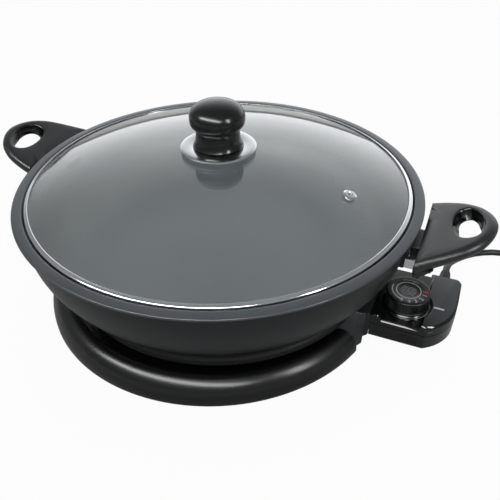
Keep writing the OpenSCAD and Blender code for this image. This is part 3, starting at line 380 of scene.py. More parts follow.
def makeTurned(name, profile, finish, body, replaced=(), steps=192, ring=False, centre=(0.0, 0.0), crease=28):
    seed = bpy.data.meshes.new(name + "Seed")
    links = [(i, i + 1) for i in range(len(profile) - 1)] + ([(len(profile) - 1, 0)] if ring else [])
    seed.from_pydata([(r * mm, -z * mm, 0) for r, z in profile], links, [])
    mesh = evaluated(name, seed, turning, {"Steps": steps, "Swing": 0.1, "Finish": finishes[finish]})
    sheet = bmesh.new()
    sheet.from_mesh(mesh)
    bmesh.ops.dissolve_degenerate(sheet, dist=1e-7, edges=sheet.edges)
    if sheet.calc_volume(signed=True) < 0:
        bmesh.ops.reverse_faces(sheet, faces=sheet.faces)
    bmesh.ops.translate(sheet, vec=Vector((centre[0] * mm, centre[1] * mm, 0)), verts=sheet.verts)
    sheet.to_mesh(mesh)
    sheet.free()
    return placePiece(name, mesh, finish, body, replaced, crease)


# pan

panSizes = {
    "rim": 185.0, "top": 120.0, "mouth": 177.0, "step": 175.6, "ledge": 113.0, "wallTop": 178.4, "floor": 51.0,
    "under": 47.0, "underRadius": 149.5, "floorRadius": 110.0, "flange": 2.6, "padFace": 179.2, "padHalf": 22.5,
    "padRise": 6.5, "padSunk": 9.0, "padEdge": 0.6, "bracketHeight": 94.5, "handleTurn": -1.4,
    "flangeBeyond": 175.5, "flangeAbove": 117.0, "insideWithin": 176.5, "insideAbove": 50.5,
}


def panProfile():
    s = panSizes
    rim, top, mouth, step, ledge = s["rim"], s["top"], s["mouth"], s["step"], s["ledge"]
    wall, under, foot, floor, flange = s["wallTop"], s["under"], s["underRadius"], s["floor"], s["flange"]
    outer = bend((wall, ledge - 1), (wall + 4, under + 29), (foot + 0.4, under + 1.2), 30)
    inner = bend((s["floorRadius"], floor), (step - 2, floor + 1), (step - 5, ledge - 4), 30)
    edge = arcPoints((rim - 1.3, top - 0.4 - flange / 2), flange / 2, -80, 80, 10)
    return (
        [(0, under), (60, under), (foot - 2, under), (foot - 0.5, under + 0.3)]
        + outer[::-1]
        + [(wall + 0.2, top - flange - 2.4), (wall + 1.6, top - flange - 0.7)]
        + edge
        + [(rim - 3, top - 0.12), (mouth + 1, top), (mouth - 0.3, top - 0.05)]
        + [(mouth - 0.8, top - 0.3), (step + 0.1, top - 1.2), (step, top - 2)]
        + [(step, ledge + 0.5), (step - 0.5, ledge), (step - 3.6, ledge), (step - 4.4, ledge - 0.6)]
        + inner[::-1]
        + [(60, floor), (0, floor)]
    )


def turnedAbout(points, degrees):
    c, s = math.cos(math.radians(degrees)), math.sin(math.radians(degrees))
    return [(x * c - y * s, x * s + y * c, z) for x, y, z in points]


def makePan():
    s = panSizes
    pan = makeTurned("panShell", panProfile(), "coatOuter", "base", ("pan",), steps=240)
    mesh = pan.data
    mesh.materials.append(finishes["coatInner"])
    mesh.materials.append(finishes["coatFlangePaintedLight"])
    for face in mesh.polygons:
        c, n = face.center / mm, face.normal
        radius = math.hypot(c.x, c.y)
        inward = (c.x * n.x + c.y * n.y) / max(radius, 1e-6)
        # the rim's upward faces take the paler flange colour: painted light
        if c.z > s["flangeAbove"] and radius > s["flangeBeyond"]:
            face.material_index = 2
        elif c.z > s["insideAbove"] and radius < s["insideWithin"] and (inward < -0.1 or n.z > 0.5):
            face.material_index = 1

    # flat pads on the wall under the handles' brackets
    half, front, edge = s["padHalf"], s["padFace"], s["padEdge"]
    low, high = s["bracketHeight"] - s["padRise"], s["bracketHeight"] + s["padRise"]
    pads = []
    for side in (0, 180):
        rings = [
            [(x, -half + i, low + i), (x, half - i, low + i), (x, half - i, high - i), (x, -half + i, high - i)]
            for x, i in ((front - s["padSunk"], 0.0), (front - edge, 0.0), (front, edge))
        ]
        points, faces = loft(rings)
        pads.append((turnedAbout(points, s["handleTurn"] + side), faces))
    makePiece("handlePads", *joined(*pads), "coatOuter", "base")


makePan()
print("pan turned")


# lid

lidSizes = {
    "band": 174.4, "bandBottom": 113.3, "edge": 120.0, "rise": 32.0, "glass": 4.0, "sheet": 0.9, "width": 3.6,
    "bore": 3.5, "disc": 34.0, "knobCap": 24.5, "knobNeck": 19.5, "knobHigh": 40.0,
}


def makeLid():
    s = lidSizes
    domeRadius = ((s["band"] - 2.5) ** 2 + s["rise"] ** 2) / (2 * s["rise"])
    domeZ = s["edge"] + s["rise"] - domeRadius

    def over(r):
        return domeZ + math.sqrt(domeRadius**2 - r * r)

    def under(r):
        return domeZ + math.sqrt((domeRadius - s["glass"]) ** 2 - r * r)

    rim = s["band"] - s["sheet"] - 0.7
    reach = [s["bore"] + (rim - 1.2 - s["bore"]) * i / 40 for i in range(41)]
    low = [(r, under(r)) for r in reach if r < rim - 1.2]
    high = [(r, over(r)) for r in reach]
    edge = [(rim - 0.5, under(rim - 0.9) + 0.5), (rim, under(rim) + 1.4)]
    edge += [(rim, over(rim) - 1.0), (rim - 0.3, over(rim - 0.3) - 0.3)]
    glass = makeTurned("lidGlass", low + edge + high[::-1], "glass", "lid", ("lid_glass",), steps=256, ring=True)
    glass.visible_shadow = False  # the studio light reaches the pan through the glass

    b, t = s["band"], s["sheet"]
    lip, foot = b - s["width"], s["bandBottom"]
    lipTop, shoulder = over(lip) + 0.25 + t, over(b - 1.6) + 0.35 + t
    band = (
        [(lip + 1.2, foot), (b - 1.0, foot), (b - 0.3, foot + 0.3), (b, foot + 1)]
        + bend((b, shoulder - 1.6), (b, shoulder - 0.2), (b - 1.8, shoulder), 8)
        + [(lip + 0.6, lipTop), (lip + 0.1, lipTop - 0.2), (lip, lipTop - 0.5), (lip, lipTop - t)]
        + [(b - 2, shoulder - t), (b - t - 0.1, shoulder - 1.3), (b - t, shoulder - 1.8)]
        + [(b - t, foot + t), (lip + 1.2, foot + t)]
    )
    makeTurned("lidBand", band, "polishedSteel", "lid", ("lid_band",), steps=256, ring=True)

    crown = s["edge"] + s["rise"]
    z, r = crown + 2.25, s["disc"]
    disc = (
        [(3, z), (r - 5, z)] + bend((r - 5, z), (r - 1.6, z), (r - 0.9, z - 0.9), 5)
        + [(r - 0.3, z - 0.95), (r, z - 0.6), (r - 0.1, z + 0.1)]
        + bend((r - 0.3, z + 0.3), (r - 1.4, z + 1.1), (r - 4.6, z + 1.2), 6)
        + [(22.5, z + 1.2), (22, z + 0.95), (21.5, z + 1.2), (3, z + 1.2)]
    )
    makeTurned("knobDisc", disc, "discSteel", "lid", ("knob_disc",), steps=128, ring=True)

    z, cap, neck, tall = crown + 3.55, s["knobCap"], s["knobNeck"], s["knobHigh"]
    waist, brow, top = z + tall * 0.34, z + tall * 0.48, z + tall
    knob = (
        [(0, z), (neck + 2.0, z), (neck + 2.5, z + 0.3)]
        + bend((neck + 2.6, z + 1), (neck, z + 5), (neck, waist), 10)
        + bend((neck, waist), (neck + 0.3, brow - 1.2), (cap - 1.6, brow), 10)[1:]
        + bend((cap - 1.6, brow), (cap + 0.3, brow + 1.5), (cap, brow + 7.5), 10)[1:]
        + bend((cap, brow + 7.5), (cap - 1.0, top - 0.4), (0, top), 22)[1:]
    )
    makeTurned("lidKnob", knob, "glossBlack", "lid", ("lid_knob",), steps=128, crease=24)


makeLid()
print("lid turned")


# handles

handleSizes = {
    "inner": 188.0, "middle": 109.3, "tilt": 19.5, "thick": 10.5, "lean": 6.5, "turn": 1.3,
    "outline": [
        (-9, 51), (0, 48.5), (10, 45.5), (20, 42.4), (31, 38.4), (39, 33.6),
        (46.5, 26.8), (52, 18.4), (55.6, 9.4), (57, 0),
    ],
    "trim": (0.0028, 16), "leanAbout": 28.0, "rings": 160, "ringPoints": 28, "footPoint": 22,
    "hole": (35.5, 2.5), "holeHalf": (12.0, 22.0), "holePower": 2.3, "holeEdge": 9.5,
    "outerRound": 6.5, "innerRound": 2.2, "funnel": 3.6, "lipAside": -3.0,
    "wallWithin": 30, "wallUpright": 0.8, "wallFacing": 0.2,
    "blockHalf": 30.0, "lipHalf": 42.5, "neckInner": 181.3, "neckHalf": 14.0, "bracket": 94.5,
}


# half an outline given as (along, half width), closed by its mirror image, trimmed on the far side, and smoothed
def handleOutline(halfPoints):
    rate, start = handleSizes["trim"]
    low = [(x, -w) for x, w in halfPoints]
    loop = low + [(x, -y * (1 - rate * max(0, start - x))) for x, y in low[-2::-1]]
    fine = []
    for i in range(len(loop) - 1):
        p = [Vector(loop[max(0, min(len(loop) - 1, i + k))]) for k in (-1, 0, 1, 2)]
        for t in (0.0, 0.2, 0.4, 0.6, 0.8):
            square = (2 * p[0] - 5 * p[1] + 4 * p[2] - p[3]) * t * t
            cube = (3 * p[1] - p[0] - 3 * p[2] + p[3]) * t**3
            fine.append(0.5 * (2 * p[1] + (p[2] - p[0]) * t + square + cube))
    return fine + [Vector(loop[-1])]


# distance from a point inside to a closed outline, along a direction
def reachTo(outline, origin, way):
    best = None
    for a, b in zip(outline, outline[1:] + outline[:1]):
        edge = b - a
        cross = way.x * edge.y - way.y * edge.x
        if abs(cross) < 1e-9:
            continue
        gap = a - origin
        t = (gap.x * edge.y - gap.y * edge.x) / cross
        u = (gap.x * way.y - gap.y * way.x) / cross
        if t > 0 and -1e-6 <= u <= 1 + 1e-6 and (best is None or t < best):
            best = t
    return best


def anglesOf(start, end, step):
    return [math.radians(d) for d in range(start, end + 1, step)]


# the grip as rings round the finger hole: outer edge, top, hole edge and the hole's funnel
def handleShape():
    s = handleSizes
    outline = handleOutline(s["outline"])
    centre, pivot, power = Vector(s["hole"]), s["leanAbout"], s["holePower"]
    half, t, out, inn = s["holeHalf"], s["thick"] / 2, s["outerRound"], s["innerRound"]
    tilt, lean, foot = math.radians(s["tilt"]), math.radians(s["lean"]), s["innerRound"] * 0.6
    rings = []
    for k in range(s["rings"]):
        a = 2 * math.pi * k / s["rings"]
        way = Vector((math.cos(a), math.sin(a)))
        far = reachTo(outline, centre, way)
        near = (abs(way.x / half[0]) ** power + abs(way.y / half[1]) ** power) ** (-1 / power)
        near = min(near, far - s["holeEdge"])
        flat, low = (near + inn) - (far - out), near - s["funnel"]
        section = [(far - out + out * math.cos(q), t * math.sin(q)) for q in anglesOf(-90, 90, 15)]
        section += [(far - out + flat * f, t) for f in (0.33, 0.67)]
        section += [(near + inn - inn * math.sin(q), t - inn + inn * math.cos(q)) for q in anglesOf(0, 90, 18)]
        section += [(near - s["funnel"] * 0.5, -0.2 * t)]
        section += [(low + foot * (1 - math.cos(q)), -t + foot * (1 - math.sin(q))) for q in anglesOf(0, 90, 18)]
        ring = []
        for r, z in section:
            x, y = centre.x + way.x * r - pivot, centre.y + way.y * r
            x, y = pivot + x * math.cos(lean) - y * math.sin(lean), x * math.sin(lean) + y * math.cos(lean)
            across = max(0.0, x * math.cos(tilt) - z * math.sin(tilt))
            ring.append((s["inner"] + across, y, s["middle"] + x * math.sin(tilt) + z * math.cos(tilt)))
        rings.append(ring)
    return loft(rings, closedRow=True)


# a flat outline in the XZ plane, run across the handle with softened ends
def prism(outline, half, soft, aside=0.0):
    middle = Vector((sum(x for x, z in outline) / len(outline), sum(z for x, z in outline) / len(outline)))
    rings = []
    for y, shrink in ((-half, soft), (-half + soft, 0), (half - soft, 0), (half, soft)):
        ring = []
        for x, z in outline:
            p = Vector((x, z))
            p += (middle - p).normalized() * shrink
            ring.append((p.x, y + aside, p.y))
        rings.append(ring)
    return loft(rings)


def makeHandles():
    s = handleSizes
    inner, middle, neckInner = s["inner"], s["middle"], s["neckInner"]
    low, neckLow = s["bracket"] - 4.5, s["bracket"] - 3
    block = [
        (inner + 0.02, middle - 3), (inner + 0.02, low - 3.4), (inner + 0.6, low - 4.1),
        (inner + 3.2, low - 4.8), (inner + 4.6, low - 4.4), (inner + 9.5, middle - 13), (inner + 16, middle - 1),
    ]
    neck = [(neckInner, neckLow), (inner + 1, neckLow), (inner + 1, middle - 4), (neckInner, middle - 4)]
    lip = [
        (inner + 0.02, middle - 2), (inner + 0.02, middle - 8), (inner + 1.5, middle - 9.5),
        (inner + 9, middle - 7.5), (inner + 15, middle - 1),
    ]
    grip, gripFaces = handleShape()
    parts = joined(
        (turnedAbout(grip, s["turn"]), gripFaces), prism(lip, s["lipHalf"], 2.0, s["lipAside"]),
        prism(block, s["blockHalf"], 1.2), prism(neck, s["neckHalf"], 0.8),
    )
    for name, side, node in (("rightHandle", 0, "right_handle"), ("leftHandle", 180, "left_handle")):
        points = turnedAbout(parts[0], side + panSizes["handleTurn"])
        handle = makePiece(name, points, parts[1], "handlePlastic", "base", (node,), crease=40)
        handle.data.materials.append(finishes["glossBlack"])
        # the finger hole's wall takes the darker gloss black: painted shade inside the hole
        foot = [Vector(p) for p in points[s["footPoint"] : len(grip) : s["ringPoints"]]]
        centre = sum(foot, Vector()) / len(foot) * mm
        for face in handle.data.polygons:
            inward = centre - face.center
            facing = face.normal.dot(inward) > s["wallFacing"] * inward.length
            if facing and inward.length < s["wallWithin"] * mm and abs(face.normal.z) < s["wallUpright"]:
                face.material_index = 1


makeHandles()
print("handles made")


# base: a soft roll round a flat deck, open at the control's socket

baseSizes = {
    "shift": (-6.2, -0.6), "foot": 1.0, "outer": 168.3, "deckTop": 17.0, "deckLow": 14.0, "deckOuter": 149.0,
    "pedestal": 105.0, "pedestalTop": 19.9, "wall": 3.0, "bore": 12, "opening": 51.0, "endShare": 0.006,
    "ribs": 12, "ribHalf": 1, "footOuter": 161.5, "footWidth": 6.0, "steps": 160,
    # each layer's height, outer x, first side, bevel's x and last side, from the cheek's inner corner
    "cheekCorner": (117, 39.1),
    "cheek": [
        (2.5, 155.5, 41, 149, 52), (4.0, 156, 41.5, 149, 52.4), (21.0, 156.2, 41.5, 149.5, 52.4),
        (32.0, 156.4, 41.0, 150, 46.5), (38.5, 156.5, 40.5, 150.5, 42.2), (39.8, 155.8, 39.9, 150.3, 41.2),
    ],
}


def baseShifted(points):
    across, along = baseSizes["shift"]
    return [(x + across, y + along, z) for x, y, z in points]


# a profile of (radius, height) swung round the base, with both ends cut level with the opening's sides
def swung(profile, first=0.0, last=1.0, steps=baseSizes["steps"]):
    rings = []
    for i in range(steps + 1):
        share = first + (last - first) * i / steps
        ring = []
        for r, z in profile:
            gap = math.asin(baseSizes["opening"] / r)
            a = gap + share * (2 * math.pi - 2 * gap)
            ring.append((r * math.cos(a), r * math.sin(a), z))
        rings.append(baseShifted(ring))
    return loft(rings)


def makeBase():
    s = baseSizes
    r, foot, top, low, end = s["outer"], s["foot"], s["deckTop"], s["deckLow"], s["endShare"]
    skin = [(r - 1.2, foot), (r, foot + 1.6), (r, foot + 4)]
    skin += bend((r, foot + 4), (r - 0.7, 19.0), (r - 10, 23.6), 14)[1:]
    skin += bend((r - 10, 23.6), (r - 16, 26.2), (r - 21.5, 22.0), 12)[1:]
    skin += bend((r - 21.5, 22.0), (r - 26, 17.6), (r - 32.5, top + 0.05), 8)[1:]
    hollow = [
        (r - 32.5, low), (r - 27, low + 0.3), (r - 21, 18.6), (r - 16, 21.2), (r - 10.5, 20.4), (r - 5.3, 16.5),
        (r - 3.1, foot + 4), (r - 3.3, foot),
    ]
    closed = skin + [(r - 32.5, low), (r - 27, foot + 2), (r - 5, foot)]

    rise, high, outer, bore = s["pedestal"], s["pedestalTop"], s["deckOuter"], s["bore"]
    inside, ceiling = rise - s["wall"], high - s["wall"]
    deck = [
        (bore, high), (rise - 1, high), (rise, high - 1), (rise, top), (outer, top),
        (outer, low), (inside, low), (inside, ceiling), (bore, ceiling),
    ]
    turns = [2 * math.pi * i / s["steps"] for i in range(s["steps"])]
    deckRings = [baseShifted([(q * math.cos(a), q * math.sin(a), z) for q, z in deck]) for a in turns]
    parts = [swung(skin + hollow), loft(deckRings, closedRow=True)]
    parts += [swung(closed, 0.0, end, 2), swung(closed, 1 - end, 1.0, 2)]
    plan = [(rise - 3, -s["ribHalf"]), (outer - 4, -s["ribHalf"]), (outer - 4, s["ribHalf"]), (rise - 3, s["ribHalf"])]
    points, faces = loft([[(x, y, z) for x, y in plan] for z in (foot + 2, low + 0.2)])
    for i in range(s["ribs"]):
        parts.append((baseShifted(turnedAbout(points, 360 * (i + 0.5) / s["ribs"])), faces))
    makePiece("baseRoll", *joined(*parts), "basePlastic", "base", ("base_ring",), crease=40)

    inner, outer, top = s["footOuter"] - s["footWidth"], s["footOuter"], foot + 2.6
    rubber = [(inner, top), (inner, 0.3), (inner + 0.4, 0.0), (outer - 0.4, 0.0), (outer, 0.3), (outer, top)]
    makePiece("rubberFoot", *swung(rubber), "rubber", "base", ("foot_ring",))

    # cheeks that carry the roll's cut ends over to the socket
    x, y = s["cheekCorner"]
    for name, side in (("frontCheek", -1), ("backCheek", 1)):
        rings = []
        for z, end, first, bevel, last in s["cheek"]:
            plan = ((x, y), (end, y), (end, first), (bevel, last), (x, last))
            rings.append([(px, side * py, z) for px, py in plan])
        makePiece(name, *loft(rings), "guardPlastic", "base", crease=28)


makeBase()
print("base made")


# control plug

controlSizes = {
    "face": 160.4, "end": 230.0, "half": 39.0, "bottom": 14.0, "split": 29.0, "top": 35.5, "block": 39.5,
    "blockX": 202.0, "collarTop": 40.0, "frontRadius": 42.5, "backRadius": 6.0, "cornerY": -2, "sideY": 8,
    "frontX": 190, "cornerInset": 2.2, "dial": (186.0, -10.0),
    "dialRadius": 19.75, "dialGap": 1.2, "deckAbove": 39.4, "deckBeyond": 190,
    "ventBars": 7, "ventStart": -15, "ventStep": 2.6, "ventHalf": 0.55, "ventEdge": 2.2,
}


def caseCorners(inset):
    s = controlSizes
    centre = (s["end"] - 0.5 - s["frontRadius"], s["cornerY"])
    start = -math.degrees(math.asin((s["half"] - s["cornerInset"]) / s["frontRadius"]))
    return (
        arcPoints(centre, s["frontRadius"] - inset, start, 0, 28) + [(s["end"] - inset, s["sideY"])]
        + arcPoints((s["end"] - s["backRadius"], s["half"] - s["backRadius"]), s["backRadius"] - inset, 0, 90, 10)
    )


def caseOutline(inset):
    s = controlSizes
    x, half = s["face"] + min(inset, 0.6), s["half"] - inset
    return [(x, half), (x, -s["half"] + inset), (s["frontX"], -s["half"] + inset)] + caseCorners(inset)


# the raised end block keeps clear of the dial with a hollow edge
def blockOutline(inset):
    s = controlSizes
    radius, x = s["dialRadius"] + s["dialGap"] + inset, s["blockX"] + inset
    swing = math.degrees(math.acos(min(1.0, (x - s["dial"][0]) / radius)))
    hollow = arcPoints(s["dial"], radius, swing, -swing, 12)
    return [(x, s["half"] - inset - 0.3)] + hollow + [(x, -s["half"] + inset + 0.3)] + caseCorners(inset + 0.1)


def makeControl():
    s = controlSizes
    x, bottom, split, top, half = s["face"], s["bottom"], s["split"], s["top"], s["half"]
    low = [(bottom, 1.4), (bottom + 0.4, 0.6), (bottom + 1.4, 0.0)]
    low += [(split - 0.5, 0.0), (split - 0.1, 0.3), (split + 0.05, 0.8)]
    makePiece("controlLower", *raised(caseOutline, low), "controlBlack", "control", ("control_lower",), crease=24)

    high = [
        (split + 0.1, 0.8), (split + 0.25, 0.3), (split + 0.6, 0.0), (top - 2.4, 0.0), (top - 2.0, 0.15),
        (top - 0.35, 1.9), (top - 0.05, 2.4), (top, 3.0),
    ]
    roof = s["block"]
    block = [(top - 3, 0.1), (roof - 2.7, 0.1), (roof - 2.2, 0.3), (roof - 0.5, 1.7), (roof - 0.1, 2.3), (roof, 3.1)]
    peak = s["collarTop"]
    groove = [(x + 2.0, peak), (x + 2.4, peak - 0.5), (x + 2.8, peak)]
    groove += [(x + 4.6, peak), (x + 5.0, peak - 0.5), (x + 5.4, peak)]
    collar = [(x - 0.05, split + 1), (x - 0.05, peak - 1.2), (x + 0.3, peak - 0.4), (x + 1.0, peak)] + groove
    collar += [(x + 6.2, peak - 0.3), (x + 9.2, top - 0.4), (x + 9.2, split + 1)]
    across = [(-half - 0.1, 0.8), (-half + 0.5, 0.1), (-half + 1.2, 0.0)]
    across += [(half - 1.2, 0.0), (half - 0.5, 0.1), (half + 0.1, 0.8)]
    collarRings = [[(px, y, pz - drop if pz > split + 2 else pz) for px, pz in collar] for y, drop in across]
    parts = joined(raised(caseOutline, high), raised(blockOutline, block), loft(collarRings))
    upper = makePiece("controlUpper", *parts, "controlBlack", "control", ("control_upper",), crease=24)
    upper.data.materials.append(finishes["deckPaintedHighlight"])
    # the block's level top takes the paler deck colour: a painted highlight
    for face in upper.data.polygons:
        place = face.center / mm
        if face.normal.z > 0.98 and place.z > s["deckAbove"] and place.x > s["deckBeyond"]:
            face.material_index = 1

    # thin upright bars on the front, one for each vent slot
    bars = []
    for i in range(s["ventBars"]):
        middle = s["blockX"] + s["ventStart"] + i * s["ventStep"]
        rings = []
        for y, share in ((-half + 0.5, 1.0), (-half - 0.25, 1.0), (-half - 0.5, 0.6)):
            left, right = middle - s["ventHalf"] * share, middle + s["ventHalf"] * share
            low, high = bottom + s["ventEdge"] + (1 - share), split - s["ventEdge"] - (1 - share)
            rings.append([(left, y, low), (right, y, low), (right, y, high), (left, y, high)])
        bars.append(loft(rings))
    makePiece("ventBars", *joined(*bars), "controlBlack", "control")


makeControl()
print("control casing made")


# dial: a node group sets grip ribs round the turned body

dialSizes = {
    "bottom": 38.5, "high": 13.5, "ribs": 48, "ribHalf": 0.42,
    # printed bands: inner and outer share of the radius, start and end in degrees, steps
    "ring": (0.515, 0.56, 0, 359.9, 72), "arc": (0.70, 0.745, 165, 252, 24), "shortArc": (0.70, 0.72, 60, 120, 14),
    "red": (0.62, 0.86, 5, 17, 4), "print": 0.06, "barsAside": 3, "barStep": 1.7, "barHalf": 0.16, "barReach": 0.36,
    "numbers": "12345", "numberRing": 0.74, "numberFirst": -8, "numberStep": 24,
    "numberSize": 5.6, "numberThick": 0.04, "numberStroke": 0.12,
}


def ribGroup():
    inputs = {"Rib": "Geometry", "Count": "Int", "Radius": "Float", "Finish": "Material"}
    tree, given = emptyGroup("ribsRoundDial", inputs)
    size = {"Vertices": given["Count"], "Radius": given["Radius"]}
    circle = addNode(tree, "GeometryNodeMeshCircle", None, size).outputs["Mesh"]
    index = addNode(tree, "GeometryNodeInputIndex").outputs["Index"]
    share = calculated(tree, "DIVIDE", {}, {0: index, 1: given["Count"]})
    angle = calculated(tree, "MULTIPLY", {1: 2 * math.pi}, {0: share})
    turn = addNode(tree, "ShaderNodeCombineXYZ", None, {"Z": angle}).outputs["Vector"]
    copied = {"Points": circle, "Instance": given["Rib"], "Rotation": turn}
    copies = addNode(tree, "GeometryNodeInstanceOnPoints", None, copied).outputs["Instances"]
    return closeGroup(tree, copies, given["Finish"])


# a printed band on the dial, a hair thick
def bandOf(band, z):
    centre, radius, thick = controlSizes["dial"], controlSizes["dialRadius"], dialSizes["print"]
    inner, outer, start, end, count = band
    a = arcPoints(centre, radius * inner, start, end, count)
    b = arcPoints(centre, radius * outer, start, end, count)
    return loft([[(*p, z), (*q, z), (*q, z + thick), (*p, z + thick)] for p, q in zip(a, b)])


def makeNumbers(face):
    s, centre = dialSizes, controlSizes["dial"]
    ring = controlSizes["dialRadius"] * s["numberRing"]
    letters = []
    for i, word in enumerate(s["numbers"]):
        text = bpy.data.curves.new("dialNumber", "FONT")
        text.body = word
        text.size = s["numberSize"] * mm
        text.align_x = "CENTER"
        text.align_y = "CENTER"
        text.extrude = s["numberThick"] * mm
        text.offset = s["numberStroke"] * mm
        flat = baked(addObject("dialNumber", text), "dialNumber")
        a = math.radians(s["numberFirst"] - i * s["numberStep"])
        place = Vector((centre[0] + ring * math.cos(a), centre[1] + ring * math.sin(a), face + 0.05)) * mm
        flat.transform(Matrix.Translation(place) @ Matrix.Rotation(a + math.pi / 2, 4, "Z"))
        letters.append(partsOf(flat))
    makePiece("dialNumbers", *joined(*letters), "silverInk", "dial")


def makeDial():
    s, centre, r = dialSizes, controlSizes["dial"], controlSizes["dialRadius"]
    z, top = s["bottom"], s["bottom"] + s["high"]
    body = [(0, z + 0.05), (r - 0.7, z + 0.05), (r - 0.4, z + 0.3), (r - 0.4, z + 0.9), (r - 0.9, z + 1.3)]
    body += [(r - 0.9, top - 2.6), (r - 0.3, top - 1.9), (r - 0.15, top - 1.5)]
    body += bend((r - 0.15, top - 1.3), (r - 0.2, top), (r - 1.8, top), 7)
    body += [(r * 0.5, top), (r * 0.49, top - 0.1), (r * 0.48, top - 0.5), (r * 0.47, top - 0.55), (0, top - 0.55)]
    makeTurned("dialBody", body, "dialBlack", "dial", ("dial",), steps=144, centre=centre)

    seed = bpy.data.meshes.new("ribSeed")
    w = s["ribHalf"]
    section = [(-0.3, -w), (0.35, -w), (0.62, -w * 0.4), (0.62, w * 0.4), (0.35, w), (-0.3, w)]
    points, faces = loft([[(x * mm, y * mm, h * mm) for x, y in section] for h in (z + 1.2, top - 2.2)])
    seed.from_pydata(points, [], faces)
    given = {"Count": s["ribs"], "Radius": (r - 1.0) * mm, "Finish": finishes["dialBlack"]}
    ribs = evaluated("dialRibs", seed, ribGroup(), given)
    ribs.transform(Matrix.Translation((centre[0] * mm, centre[1] * mm, 0)))
    makePiece("dialRibs", *partsOf(ribs), "dialBlack", "dial", crease=30)

    # rings and bars printed on the top, the bars down in its hollow
    face, low = top + 0.01, top - 0.54
    marks = [bandOf(s[key], face) for key in ("ring", "arc", "shortArc")]
    half, high = s["barHalf"], low + s["print"]
    for k in range(-s["barsAside"], s["barsAside"] + 1):
        away = k * s["barStep"]
        y, reach = centre[1] + away, math.sqrt(max(1.0, (r * s["barReach"]) ** 2 - away**2))
        bar = ((y - half, low), (y + half, low), (y + half, high), (y - half, high))
        marks.append(loft([[(x, *p) for p in bar] for x in (centre[0] - reach, centre[0] + reach)]))
    makePiece("dialRings", *joined(*marks), "silverInk", "dial")
    makePiece("dialStart", *bandOf(s["red"], face), "redInk", "dial")
    makeNumbers(face)

    # skirt under the dial: gloss black with a bright lip
    z = controlSizes["top"] - 0.35
    skirt = [
        (5, z), (r + 0.6, z), (r + 0.9, z + 0.3), (r + 0.9, z + 0.8), (r + 0.4, z + 1.3), (r + 0.4, z + 2.0),
        (r - 0.4, z + 2.8), (5, z + 2.8),
    ]
    makeTurned("dialSkirt", skirt, "glossBlack", "control", ("dial_ring",), steps=144, ring=True, centre=centre)
    lip = [(r + 0.62, z + 0.95), (r + 0.98, z + 0.95), (r + 1.0, z + 1.2), (r + 0.7, z + 1.35), (r + 0.5, z + 1.3)]
    makeTurned("dialLip", lip, "polishedSteel", "control", (), steps=144, ring=True, centre=centre)


makeDial()
print("dial made")


# CAD nodes that keep their own solids

nodeFinishes = {
    "sheathSteel": ("heating_element", "probe_sleeve"),
    "brass": ("terminal_straps", "contact_sleeves"),
    "nickel": ("contact_pins", "probe_rod", "mains_pins"),
    "shieldPaint": ("heat_shield",),
    "rubber": ("knob_gasket", "knob_washer", "cord_tie"),
    "zincSteel": ("base_screws", "handle_screws", "bracket_rivets", "knob_screw", "dial_shaft", "case_screws"),
    "guardPlastic": ("socket_guard", "contact_nose"),
    "brushedSteel": ("right_bracket", "left_bracket"),
    "polishedSteel": ("vent_eyelet",),
    "ceramic": ("thermostat",),
    "silverInk": ("pointer_mark",),
    "cordSkin": ("strain_relief", "mains_plug"),
}

for finish, names in nodeFinishes.items():
    for name in names:
        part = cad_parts[name]
        part.data.materials.clear()
        part.data.materials.append(finishes[finish])


# cord

cordSizes = {
    "diameter": 6.6, "coilDiameter": 70.0, "coilTurns": 4.25, "coilPitch": 7.2, "coilSteps": 24, "coilLift": 0.6,
    "plugThick": 37, "plugBack": 38,
    "route": [
        (214, 60, 27), (214, 67, 27), (214.8, 75, 25.6), (216.6, 84, 22.4), (219.2, 94, 18), (222.6, 105, 13),
        (227, 116, 8.8), (232.5, 126, 5.8), (239.5, 134.5, 4), (248, 141, 3.4), (258, 145.6, 3.4), (270, 148.6, 3.4),
        (284, 150, 3.4), (303, 150, 4.1), (312, 150, 4.3), (322, 150, 4.3),
    ],
}


def cordLine():
    d, turns, pitch = cordSizes["diameter"], cordSizes["coilTurns"], cordSizes["coilPitch"]
    start = Vector(cordSizes["route"][-1])
    half = turns / 2
    outer = cordSizes["coilDiameter"] / 2 + pitch * half / 2
    centre = start - Vector((0, outer, 0))

    def coilPoint(u):
        r = outer - pitch * (half - abs(u - half))
        climb = min(1, max(0, (u - half) * 2 + 0.5))
        a = math.radians(90 - 360 * u)
        return centre + Vector((r * math.cos(a), r * math.sin(a), (d + cordSizes["coilLift"]) * climb))

    line = [Vector(p) for p in cordSizes["route"]]
    line.append(start + Vector((d, 0, 0)))
    steps = cordSizes["coilSteps"]
    line += [coilPoint(i / steps) for i in range(2, int(steps * turns))]

    # from the coil's last turn up into the plug lying on the table
    end, back = coilPoint(turns), cordSizes["plugBack"]
    axis = cordSizes["plugThick"] / 2 + 0.1
    line += [end + Vector(p) for p in ((0, -2, 0.6), (0, -12, 2.6), (0, -22, 5.4))]
    return line + [Vector((end.x, end.y - y, z)) for y, z in ((31, axis - 0.6), (back, axis), (back + d, axis))]


def makeCord():
    line = cordLine()
    curve = bpy.data.curves.new("mainsCord", "CURVE")
    curve.dimensions = "3D"
    curve.bevel_depth = cordSizes["diameter"] / 2 * mm
    curve.bevel_resolution = 4
    curve.resolution_u = 4
    spline = curve.splines.new("POLY")
    spline.points.add(len(line) - 1)
    for point, place in zip(spline.points, line):
        point.co = (*(place * mm), 1)
    spline.use_smooth = True
    curve.use_fill_caps = True
    curve.materials.append(finishes["cordSkin"])
    cord = addObject("mainsCord", curve)
    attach(cord, "control")
    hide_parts("cord_run", "cord_coil")


makeCord()


# studio

